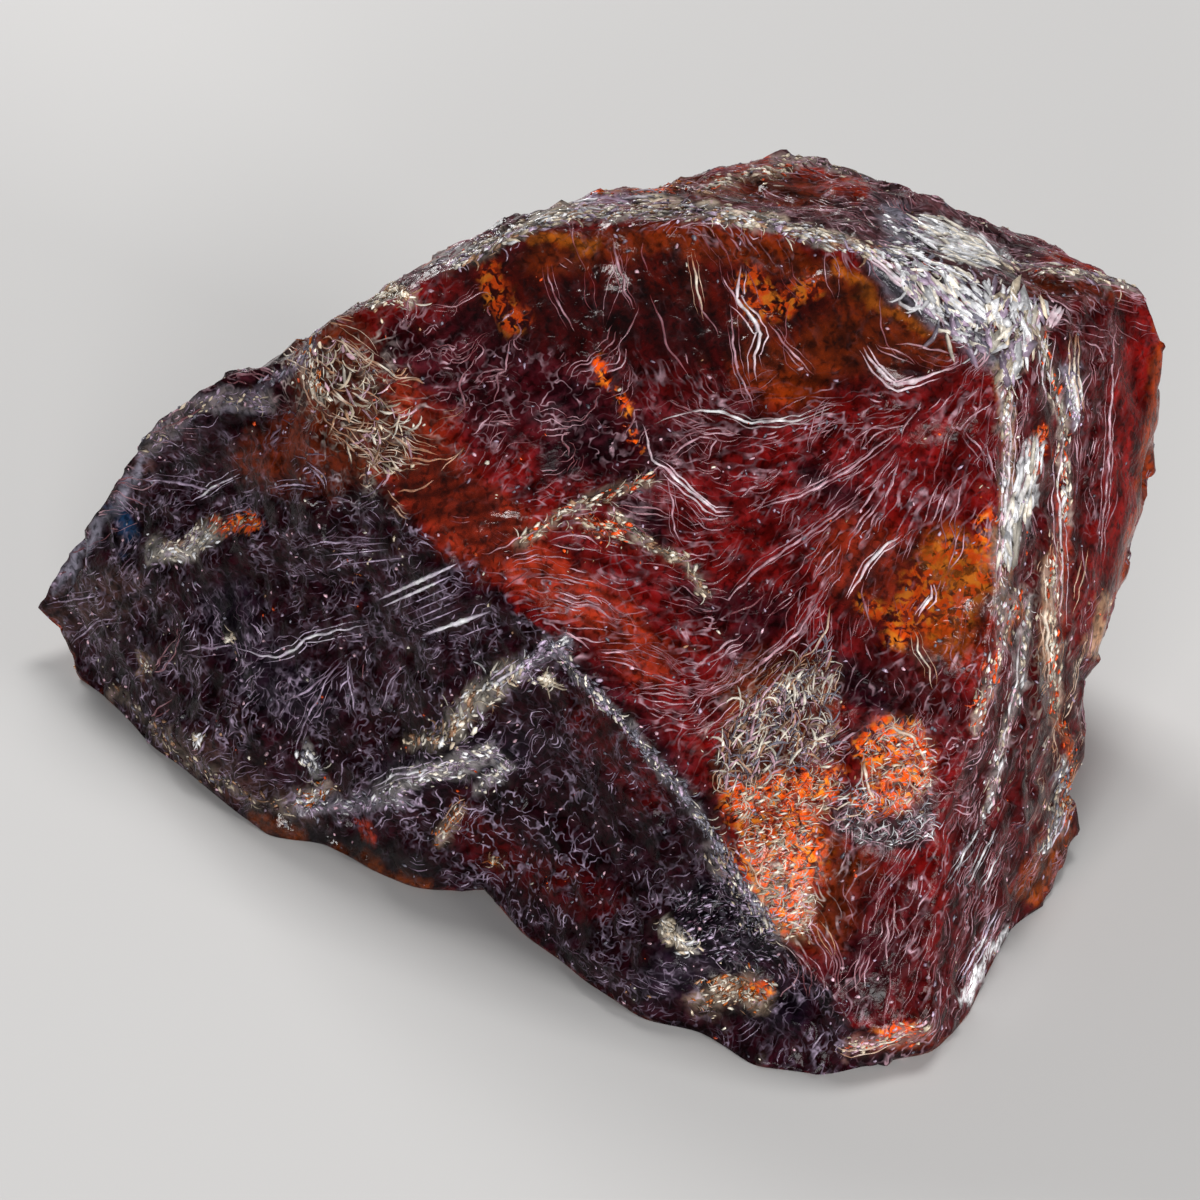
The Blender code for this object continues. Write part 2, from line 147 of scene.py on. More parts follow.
# Outlines of the faces that the photograph shows
MAIN_FACE = [
    (315, 335), (400, 290), (480, 250), (560, 220), (640, 210), (700, 212), (760, 222), (862, 247),
    (955, 339), (1000, 355), (1005, 450), (995, 560), (1000, 620), (985, 690), (965, 760), (950, 860),
    (940, 940), (930, 1030), (850, 1030), (775, 935), (740, 870), (700, 800), (640, 725), (590, 670),
    (540, 630), (480, 565), (440, 550), (400, 500), (330, 430), (310, 380),
]
TOP_LEDGE = [
    (300, 340), (400, 290), (480, 250), (560, 220), (640, 210), (760, 222), (862, 247), (891, 253),
    (1035, 304), (1190, 300), (1150, 200), (800, 120), (500, 180), (300, 300),
]
RIGHT_SIDE = [
    (1000, 355), (1035, 304), (1190, 290), (1150, 700), (1100, 900), (1000, 1080), (930, 1060),
    (930, 1030), (940, 940), (950, 860), (965, 760), (985, 690), (1000, 620), (995, 560), (1005, 450),
]
DARK_FACE = [
    (20, 620), (60, 560), (150, 445), (215, 385), (312, 420), (400, 500), (440, 550), (480, 565), (540, 630),
    (640, 725), (700, 800), (775, 935), (850, 1030), (860, 1090), (500, 1090), (20, 800),
]
SMOOTH_STRIP = [
    (1112, 285), (1180, 285), (1165, 420), (1150, 560), (1115, 690), (1085, 650), (1098, 540), (1108, 420),
]
FACE_COLOURS = [(MAIN_FACE, RED), (TOP_LEDGE, PLUM_BROWN), (RIGHT_SIDE, DEEP_RED)]

# Patches of colour, painted in this order: colour, half width, points
PATCHES = [
    # The main face
    (DEEP_EMBER, 46, [(520, 300), (600, 290), (700, 300), (780, 310), (860, 330)]),
    (EMBER, 17, [(540, 262), (600, 246), (680, 238), (760, 250), (840, 280), (900, 320), (935, 350)]),
    (DEEP_RED, 30, [(570, 310), (640, 330), (720, 350)]),
    (DEEP_RED, 34, [(585, 330), (660, 380), (740, 405), (700, 440)]),
    (EMBER, 30, [(765, 365), (790, 380), (850, 335), (900, 335)]),
    (PURPLE, 46, [(475, 345), (540, 390), (600, 430), (635, 450)]),
    (PURPLE, 30, [(400, 350), (450, 380), (500, 420)]),
    (DARK_PURPLE, 22, [(560, 400), (600, 445), (560, 460)]),
    (BRIGHT_RED, 36, [(395, 420), (425, 470), (470, 525), (505, 540)]),
    (BRIGHT_RED, 24, [(530, 570), (600, 610), (650, 660)]),
    (BROWN, 36, [(330, 350), (335, 400), (375, 440)]),
    (DARK_PURPLE, 18, [(632, 508), (655, 532)]),
    (PURPLE, 20, [(700, 600), (770, 612), (740, 645)]),
    (PURPLE, 13, [(810, 470), (850, 500), (840, 560)]),
    (BRIGHT_RED, 40, [(860, 560), (905, 580), (955, 630)]),
    (GOLD_BROWN, 24, [(950, 545), (970, 590), (945, 640)]),
    (AMBER, 15, [(935, 560), (962, 582), (975, 560)]),
    (DARK_PURPLE, 24, [(840, 680), (900, 700), (930, 680)]),
    (DEEP_RED, 26, [(890, 650), (950, 720)]),
    (BROWN, 22, [(735, 690), (770, 670), (815, 690), (810, 740)]),
    (BROWN, 10, [(728, 720), (742, 760), (738, 800)]),
    (TAN, 20, [(750, 810), (800, 806), (775, 850), (790, 920)]),
    (BRIGHT_RED, 12, [(770, 880), (778, 925)]),
    (PLUM_BROWN, 20, [(870, 738), (905, 740), (915, 790), (880, 800)]),
    (BRIGHT_RED, 14, [(885, 800), (898, 780), (870, 815)]),
    (BROWN, 28, [(820, 850), (860, 890), (830, 930)]),
    (DEEP_RED, 34, [(890, 900), (905, 980)]),
    (PURPLE, 24, [(840, 990), (870, 950), (860, 1000)]),
    (AMBER, 7, [(530, 240), (570, 240), (592, 246)]),
    (AMBER, 6, [(840, 268), (870, 300), (925, 330)]),
    # The dark face
    (DARK_PURPLE, 40, [(560, 680), (620, 740), (680, 820), (640, 850)]),
    (DEEP_RED, 24, [(590, 715), (650, 790)]),
    (DEEP_RED, 22, [(470, 830), (530, 870), (600, 900)]),
    (SLATE, 30, [(230, 610), (265, 680), (310, 700)]),
    (SLATE, 22, [(400, 780), (450, 765), (510, 750)]),
    (UMBER, 26, [(62, 612), (115, 592)]),
    (BROWN, 26, [(290, 440), (260, 460), (330, 470)]),
    (UMBER, 18, [(190, 750), (240, 790), (300, 815)]),
    (UMBER, 9, [(138, 470), (150, 466)]),
    (BLUE, 7, [(114, 506), (126, 522), (122, 548)]),
    (BLACK, 9, [(105, 535), (128, 545)]),
    (TAN, 8, [(168, 548), (190, 545), (212, 528)]),
    (GREY, 9, [(150, 445), (185, 408), (225, 400), (262, 402)]),
    (GREY, 5, [(60, 590), (85, 545), (118, 500), (150, 450)]),
    (TAN, 4, [(143, 660), (148, 672)]),
    (GOLD_BROWN, 10, [(255, 824), (300, 838)]),
    (GOLD_BROWN, 9, [(335, 850), (372, 868)]),
    (BRIGHT_RED, 6, [(365, 822), (370, 840)]),
    (GOLD_BROWN, 7, [(385, 880), (425, 886)]),
    (SLATE, 26, [(700, 905), (735, 915), (758, 935)]),
    (SLATE, 26, [(660, 980), (700, 960), (790, 1010)]),
    (PLUM_BROWN, 14, [(700, 1005), (730, 990), (752, 985)]),
    (CREAM, 6, [(664, 925), (674, 938), (684, 946)]),
    # Painted shadow: the dark crevice at the foot of the ridge's pale wall
    (BLACK, 5, [(792, 952), (815, 985), (846, 1024)]),
    (BLACK, 7, [(752, 969)]),
    # The top
    (CREAM, 6, [(455, 266), (500, 238), (560, 214), (640, 206), (700, 210), (770, 222), (862, 248)]),
    (BROWN, 14, [(700, 185), (760, 190), (820, 200)]),
    (LILAC, 5, [(585, 203), (628, 199)]),
    (BRIGHT_RED, 9, [(725, 168), (770, 162), (825, 180), (860, 190)]),
    (GREY, 12, [(895, 215), (915, 235), (900, 245)]),
    (WHITE, 10, [(926, 224), (950, 234), (992, 256)]),
    (BROWN, 16, [(1040, 285), (1080, 278), (1120, 290)]),
    (BRIGHT_RED, 8, [(1055, 258), (1090, 268)]),
    (GREY, 20, [(885, 265), (930, 300), (980, 330), (1000, 350)]),
    (AMBER, 6, [(868, 250), (884, 264)]),
    (CREAM, 10, [(1012, 318), (1018, 350), (1008, 372)]),
    # The right-hand side
    (TAN, 6, [(1006, 370), (1008, 450), (1000, 540), (1000, 610)]),
    (WHITE, 7, [(1034, 445), (1022, 490), (1010, 540)]),
    (TAN, 8, [(1052, 560), (1050, 660)]),
    (BRIGHT_RED, 7, [(1062, 500), (1060, 600), (1056, 640)]),
    (AMBER, 5, [(1018, 610), (1006, 640)]),
    (AMBER, 5, [(988, 690), (978, 722)]),
    (GREY, 9, [(1070, 375), (1078, 420)]),
    (RED, 26, [(1144, 310), (1134, 430), (1114, 540), (1098, 640)]),
    (EMBER, 9, [(1164, 315), (1156, 420), (1138, 530), (1120, 590)]),
    (DEEP_RED, 14, [(1098, 320), (1092, 400), (1084, 480)]),
    (TAN, 7, [(1104, 600), (1094, 650)]),
    (GREY, 8, [(1062, 770), (1066, 805)]),
    (GOLD_BROWN, 14, [(1058, 835), (1045, 862), (1030, 890)]),
    (WHITE, 5, [(1004, 932), (982, 968), (964, 1000)]),
    (BROWN, 9, [(860, 1046), (930, 1036)]),
]

# Painted glow: where orange light of inner reflections and small glints shines out of the stone in flecks,
# painted into its colour: half width, points
PAINTED_GLOW_FLECKS = [
    (13, [(918, 582), (913, 605), (900, 628)]),
    (26, [(935, 600), (960, 570)]),
    (16, [(900, 740), (912, 762)]),
    (12, [(872, 800), (900, 785)]),
    (14, [(740, 800), (825, 785)]),
    (6, [(862, 603), (880, 612), (893, 622)]),
    (5, [(955, 575), (966, 592)]),
    (5, [(983, 520), (987, 545)]),
    (24, [(760, 812), (788, 835), (790, 860), (766, 850)]),
    (12, [(772, 880), (790, 915)]),
    (8, [(885, 728), (862, 745), (875, 760)]),
    (13, [(752, 286), (764, 300), (758, 310)]),
    (7, [(782, 306), (796, 296), (812, 288)]),
    (9, [(488, 276), (498, 298), (514, 322)]),
    (4, [(597, 362), (610, 380), (628, 410)]),
    (3, [(634, 430), (646, 452)]),
    (5, [(222, 528), (236, 522), (254, 519)]),
    (5, [(752, 992), (765, 990)]),
    (4, [(638, 189), (672, 186)]),
    (4, [(932, 267), (940, 270)]),
    (4, [(964, 312), (970, 306)]),
    (4, [(1044, 432), (1036, 468)]),
    (4, [(885, 1030), (905, 1028)]),
]
PAINTED_GLOW_SPREAD = 1.3
PATCH_SOFTNESS = 0.5
PATCH_WARPS = [(9.0, 26.0), (5.0, 8.0)]

# Noise on the sides out of sight: size in mm, shift, the level that it starts at, and the width of its edge
HIDDEN_BANDS = [
    (DEEP_RED, (11.0, 21.0, 0.0, 0.16)),
    (RED, (8.0, 33.0, 0.08, 0.14)),
    (BROWN, (6.5, 47.0, 0.22, 0.12)),
    (DARK_PURPLE, (5.0, 59.0, 0.14, 0.12)),
    (EMBER, (4.5, 71.0, 0.34, 0.10)),
    (BRIGHT_RED, (4.0, 83.0, 0.36, 0.10)),
]
# The painted orange glow on the sides out of sight, from two noises
HIDDEN_PAINTED_GLOW = [(1.3, 119.0, 0.3, 0.1), (6.0, 127.0, 0.2, 0.15)]
HIDDEN_CLEAR = (3.0, 131.0, 0.25, 0.2)

# Where the stone is clear enough to see into: half width, points
CLEAR_PATCHES = [
    (60, [(500, 285), (600, 285), (700, 300), (800, 320), (900, 330)]),
    (34, [(430, 480), (490, 530)]),
    (46, [(880, 590), (960, 590)]),
    (26, [(770, 830)]),
    (24, [(255, 824), (425, 886)]),
]

# The way that fracture lips run in the picture: pixel, degrees from the right, turning upwards
GUIDES = [
    # The main face
    ((620, 270), -82), ((540, 300), -60), ((740, 300), -80), ((860, 300), -70), ((700, 350), -70),
    ((880, 385), -15), ((760, 420), 8), ((700, 485), -28), ((760, 530), 40), ((740, 680), 30),
    ((830, 600), 66), ((860, 470), 48), ((950, 400), 40), ((945, 470), 76), ((920, 640), 78),
    ((600, 600), -22), ((660, 650), -30), ((560, 410), 20), ((480, 440), 70), ((420, 420), -12),
    ((370, 380), -35), ((350, 440), -40), ((430, 330), 40), ((780, 720), 72), ((850, 850), 55),
    ((900, 780), 30), ((890, 970), 84), ((800, 900), -50), ((440, 500), 10), ((520, 370), 60),
    # The dark face
    ((225, 490), 25), ((300, 490), -10), ((350, 540), 4), ((225, 610), -75), ((300, 650), 20),
    ((295, 715), 52), ((375, 700), 70), ((90, 600), 24), ((90, 650), 38), ((420, 755), 28),
    ((250, 760), 30), ((480, 820), 35), ((560, 740), 50), ((620, 850), 20), ((420, 600), 20),
    ((560, 900), 15), ((700, 980), -15), ((800, 1040), 60), ((450, 560), 15), ((180, 700), 60),
    # The top
    ((480, 235), 30), ((640, 195), 8), ((800, 180), -12), ((940, 240), -30), ((1080, 270), -12),
    # The wedge and the right-hand side
    ((950, 310), -50), ((1030, 420), 80), ((1020, 560), 82), ((1060, 700), 78), ((1000, 850), 66),
    ((960, 980), 68), ((1130, 450), 82), ((1090, 640), 75), ((1030, 900), 50),
]
GUIDE_REACH = 45.0
LOOKUP_STEP = 6

# The fine pale lines that the stone's material draws, hair-fine fractures whose pale colour is a painted
# highlight: how far they are drawn out along the flow, and sizes in mm
FLOW_DEGREES = (0, 60, 120)
LINE_STRETCH = 3.6
LINE_SPACING = 0.40
NET_SPACING = 0.50
LINE_STOPS = [(0.0, 1.0), (0.016, 0.75), (0.042, 0.0)]
LINE_WARP = 0.5
LINE_WARP_SIZE = 0.9
LINE_SHARE = (0.25, 1.0)
NET_WARP = 0.5
NET_WARP_SIZE = 0.4
FLOW_SHARPNESS = 1.5
DARK_CURL = 0.6
AREA_CURL = 0.7

# Milky streaks along the flow: how far each is followed, and its width, in pixels
STREAK_STEPS = 8
STREAK_STEP = 7.0
STREAK_WIDTH = 7.5
STREAK_CONTRAST = 0.27
HIDDEN_STREAK = (0.28, 0.28, 1.3)
STREAK_SHADES = (0.40, 1.45)
MILKY = 0.30
MILKY_START = 0.5
MILKY_WIDTH = 0.4
MILK = (0.060, 0.012, 0.018)
DARK_MILK = (0.016, 0.003, 0.007)

# Where wisps are few: the share that stays, half width, points
BARE_PATCHES = [
    (0.10, 62, [(505, 290), (600, 300), (700, 315), (800, 330), (900, 320)]),
    (0.15, 32, [(410, 470), (460, 515), (505, 540)]),
    (0.28, 44, [(870, 590), (960, 600)]),
    (0.45, 26, [(690, 510), (780, 560)]),
    (0.30, 16, [(645, 520)]),
    (0.25, 28, [(740, 590), (770, 620)]),
    (0.06, 34, [(1150, 320), (1142, 450), (1112, 620)]),
    (0.45, 34, [(1070, 350), (1060, 500), (1050, 700), (1010, 850)]),
    (0.25, 20, [(240, 572)]),
    (0.30, 20, [(255, 824), (340, 850), (425, 886)]),
    (0.30, 26, [(220, 440), (285, 450)]),
    (0.55, 44, [(590, 730), (680, 850)]),
    (0.55, 34, [(640, 910), (760, 1020)]),
]

# Where wisps curl tightly: half width, points
CURLY_PATCHES = [
    (60, [(500, 380), (600, 440)]),
    (40, [(430, 350)]),
    (60, [(760, 820), (900, 760)]),
    (90, [(450, 760), (560, 860)]),
]

# Wisps: one runs along, a pair bows into a loop, and some lie side by side in a bundle
WISPS = 8000
WISP_CLUSTERING = 1.6
WISP_KINDS = {"single": 0.42, "loop": 0.23, "bundle": 0.35}
WISP_LENGTHS = (0.6, 3.4)
WISP_WIDTHS = (0.035, 0.12)
WISP_STEP = 0.12
WISP_HEIGHT_SHARE = 0.32
MOST_WISP_HEIGHT = 0.055
WISP_SINK = 0.018
WISP_SCATTER = 0.22
LOOP_BOW = (0.08, 0.22)
BUNDLE_SPACING = (0.13, 0.22)
BUNDLE_STRANDS = (2, 3)
CURL = 0.5
CURL_SIZE = 1.3
WIGGLE = 0.7
WIGGLE_SIZE = 0.4
TIGHT_CURL = 1.9
SHORT_WISPS = 0.55
LEAST_RINGS = 5
LENGTH_SPREAD = (0.5, 1)
LOOP_WIDTH = 0.75
BUNDLE_WIDTHS = (0.5, 0.9)
BUNDLE_BOW = 0.05
BUNDLE_UNCUT = 6
HIDDEN_FLOW_SIZE = 7
HIDDEN_FLOW_LIFT = 0.6
HIDDEN_REGION_SIZE = 6
DUSKY_LEVEL = -0.05

# How a strand's brightness, which paints its highlight, and its width change along it: sizes of the changes
# in mm
GLINTS = (0.2, 1.0)
GLINT_POWER = 2.2
GLINT_STRENGTH = 1.4
GLINT_MIDDLE = 0.55
GLINT_CHANGE = 0.9
GLINT_SIZE = 0.33
END_FADE = 2.2
STRAND_COVER = 0.8
STRAND_TAPER = 0.6
WIDTH_CHANGE = 0.5
WIDTH_SIZE = 0.25
FOOT_SHADE = 0.75

# The dim colour of lips and the bright colour of their painted highlights, and pairs of the two
ROSE = (0.15, 0.032, 0.040)
PALE_ROSE = (0.62, 0.38, 0.45)
DUSK = (0.066, 0.028, 0.052)
PALE_BLUE = (0.58, 0.45, 0.62)
PEACH = (0.42, 0.20, 0.11)
PALE_CREAM = (0.86, 0.78, 0.66)
PINK = (ROSE, PALE_ROSE)
PINK_WHITE = (PALE_ROSE, WHITE)
ROSE_WHITE = (ROSE, WHITE)
DUSKY = (DUSK, PALE_BLUE)
DUSK_WHITE = (DUSK, WHITE)
ICY = (PALE_BLUE, WHITE)
BUFF = (PEACH, PALE_CREAM)
CHALKY = (PALE_CREAM, WHITE)
LILAC_WHITE = (LILAC, WHITE)

# Where wisps are buff: half width, points
BUFF_PATCHES = [
    (55, [(330, 360), (360, 420), (390, 450)]),
    (45, [(770, 800), (790, 900)]),
    (34, [(890, 770)]),
    (36, [(800, 690), (740, 740)]),
    (26, [(730, 990)]),
    (24, [(1050, 560), (1055, 820)]),
]

# How far a wisp's milky halo reaches into the stone beside it
HALO_REACH = 0.17
HALO_STRENGTH = 0.05
HALO_SHADE = 0.55

# Cracks and seams that stand out: half width in pixels, colours, points
CRACKS = [
    (2.2, PINK, [(612, 235), (618, 262), (625, 290), (640, 318)]),
    (1.6, PINK, [(545, 262), (556, 300), (580, 340)]),
    (1.8, BUFF, [(690, 250), (698, 290), (705, 330)]),
    (2.0, PINK, [(730, 300), (733, 335), (738, 372), (750, 400), (762, 424)]),
    (3.0, PINK_WHITE, [(742, 262), (736, 300), (752, 318), (762, 334), (754, 356), (758, 392)]),
    (1.8, PINK, [(765, 320), (790, 350), (822, 382)]),
    (3.6, PINK_WHITE, [
        (862, 345), (876, 368), (896, 386), (918, 380), (934, 373), (950, 368), (962, 359),
    ]),
    (2.2, ROSE_WHITE, [(650, 424), (675, 416), (700, 410), (726, 414), (752, 424), (800, 420), (850, 400)]),
    (2.6, PINK_WHITE, [(640, 420), (648, 440), (652, 460), (664, 467), (690, 492), (716, 512), (745, 512)]),
    (2.0, PINK, [(664, 467), (680, 448), (700, 436), (716, 440), (708, 458), (690, 470)]),
    (1.6, PINK, [(664, 470), (672, 500), (674, 530), (690, 556)]),
    (2.4, PINK, [(700, 594), (728, 600), (760, 566), (800, 540), (846, 508), (880, 486)]),
    (2.2, PINK, [(745, 512), (800, 496), (850, 470), (886, 440), (912, 418)]),
    (2.0, PINK, [(700, 700), (752, 672), (800, 630), (822, 596), (836, 560)]),
    (2.4, PINK_WHITE, [(846, 602), (866, 566), (882, 548), (912, 530)]),
    (2.0, PINK, [(700, 740), (760, 700), (808, 640)]),
    (2.6, PINK_WHITE, [(930, 582), (932, 598), (920, 612), (914, 626)]),
    (1.6, BUFF, [(914, 626), (918, 650), (930, 668), (934, 700)]),
    (2.0, PINK, [(660, 180), (690, 186), (720, 196)]),
    (1.8, PINK, [(965, 430), (985, 455), (1000, 462)]),
    (1.8, PINK, [(985, 440), (992, 470), (1002, 490)]),
    # White slabs at the upper right
    (8.0, PINK_WHITE, [(1042, 300), (1034, 318), (1026, 342), (1014, 366), (1006, 384)]),
    (6.0, PINK_WHITE, [(1062, 304), (1052, 322), (1044, 336)]),
    (9.0, CHALKY, [(1036, 448), (1030, 476), (1020, 502), (1010, 528), (1003, 556)]),
    (5.0, CHALKY, [(1072, 372), (1076, 396), (1080, 420)]),
    (9.0, CHALKY, [(918, 224), (934, 228), (952, 236), (972, 250), (996, 258)]),
    (7.0, CHALKY, [(930, 246), (948, 254), (966, 262)]),
    (5.0, PINK_WHITE, [(862, 248), (885, 268), (910, 290), (935, 315), (955, 338)]),
    (4.0, ROSE_WHITE, [(890, 262), (905, 280)]),
    (4.0, ROSE_WHITE, [(912, 262), (925, 288)]),
    (4.0, ROSE_WHITE, [(940, 282), (952, 304)]),
    (5.0, CHALKY, [(985, 296), (1000, 318), (1008, 340)]),
    # Smooth pale lumps on the top ledge
    (5.0, LILAC_WHITE, [(570, 204), (584, 200), (598, 198), (610, 199)]),
    (5.5, LILAC_WHITE, [(618, 200), (634, 197), (650, 197), (664, 202)]),
    # Seams of the dark face
    (2.4, DUSKY, [(130, 478), (155, 480), (180, 483), (210, 490), (235, 479)]),
    (2.2, DUSKY, [(115, 496), (128, 508), (140, 522)]),
    (2.4, ICY, [
        (228, 644), (263, 657), (276, 657), (295, 649), (305, 638), (337, 631), (381, 623),
    ]),
    (1.8, DUSKY, [(276, 705), (305, 692), (327, 676), (346, 660)]),
    (1.8, DUSKY, [(295, 768), (298, 737), (311, 711), (330, 675), (359, 644)]),
    (2.2, ICY, [(190, 504), (212, 488), (231, 478), (250, 469)]),
    (1.8, DUSKY, [(219, 517), (244, 509), (263, 497)]),
    (1.8, DUSKY, [(266, 488), (295, 485), (327, 489)]),
    (2.0, DUSKY, [(295, 550), (321, 542), (359, 544), (400, 544)]),
    (1.8, DUSKY, [(43, 606), (78, 599), (117, 593)]),
    (1.8, DUSKY, [(66, 654), (78, 638), (97, 622), (129, 615)]),
    (1.8, DUSKY, [(378, 714), (391, 679), (416, 657)]),
    (1.8, DUSKY, [(346, 657), (349, 682), (359, 727)]),
    (2.4, DUSKY, [(180, 650), (215, 648), (250, 640)]),
    (2.4, ICY, [(370, 790), (392, 776), (420, 772), (446, 762), (470, 768)]),
    (2.0, BUFF, [(436, 842), (450, 822), (462, 806), (476, 802)]),
    (3.0, ICY, [(488, 690), (506, 676), (528, 660), (540, 654)]),
    # The lower main face and the right-hand side
    (2.6, PINK, [(1117, 300), (1112, 380), (1108, 470), (1098, 580)]),
    (2.4, PINK_WHITE, [(1064, 420), (1058, 500), (1062, 560), (1060, 640)]),
    (3.4, BUFF, [(1076, 330), (1074, 372), (1082, 424)]),
    (3.0, BUFF, [(1044, 560), (1046, 620), (1050, 700)]),
    (2.4, PINK_WHITE, [(1050, 330), (1042, 372), (1046, 410)]),
    (2.6, PINK_WHITE, [(1012, 390), (1010, 450), (1004, 520), (998, 600)]),
    (2.0, ROSE_WHITE, [(1024, 600), (1016, 680), (1000, 760), (985, 820)]),
    (2.2, DUSK_WHITE, [(1000, 820), (985, 850), (970, 880), (955, 900)]),
    (2.2, DUSK_WHITE, [(988, 815), (970, 845), (952, 875), (938, 895)]),
    (1.8, DUSK_WHITE, [(1006, 840), (990, 872), (974, 902)]),
    (3.0, ICY, [(998, 905), (984, 940), (966, 970), (955, 992)]),
    (2.4, ICY, [(1070, 800), (1062, 825), (1046, 858)]),
    (3.4, BUFF, [(312, 360), (310, 385), (318, 402), (336, 416)]),
    (2.6, BUFF, [(870, 738), (892, 728), (914, 738), (926, 762), (922, 790)]),
    (2.4, BUFF, [(864, 756), (868, 790), (884, 810)]),
    (2.6, BUFF, [(831, 1046), (850, 1052), (872, 1048), (905, 1036), (928, 1028)]),
]
CRACK_BEND = 2.6
CRACK_BEND_SIZE = 13
CRACK_GLINT = 1.2
SIDE_STRANDS = 2
SIDE_STRAND_GAPS = (3, 7)
SIDE_STRAND_WIDTHS = (0.35, 0.6)
SIDE_STRAND_GLINT = 0.6
STRIATION_GLINT = 1.4

# Straight striations of the dark face: half width in pixels, colours, start, end
STRIATIONS = [
    (3.4, ICY, (376, 601), (467, 559)),
    (2.4, ICY, (380, 608), (462, 571)),
    (1.2, DUSKY, (392, 612), (466, 580)),
    (1.2, DUSKY, (398, 618), (470, 587)),
    (1.2, DUSKY, (404, 624), (468, 596)),
    (1.2, DUSKY, (412, 628), (472, 603)),
    (4.0, ICY, (420, 636), (500, 608)),
    (1.2, DUSKY, (450, 641), (500, 621)),
    (1.2, DUSKY, (330, 566), (420, 556)),
    (1.2, DUSKY, (320, 556), (400, 548)),
]

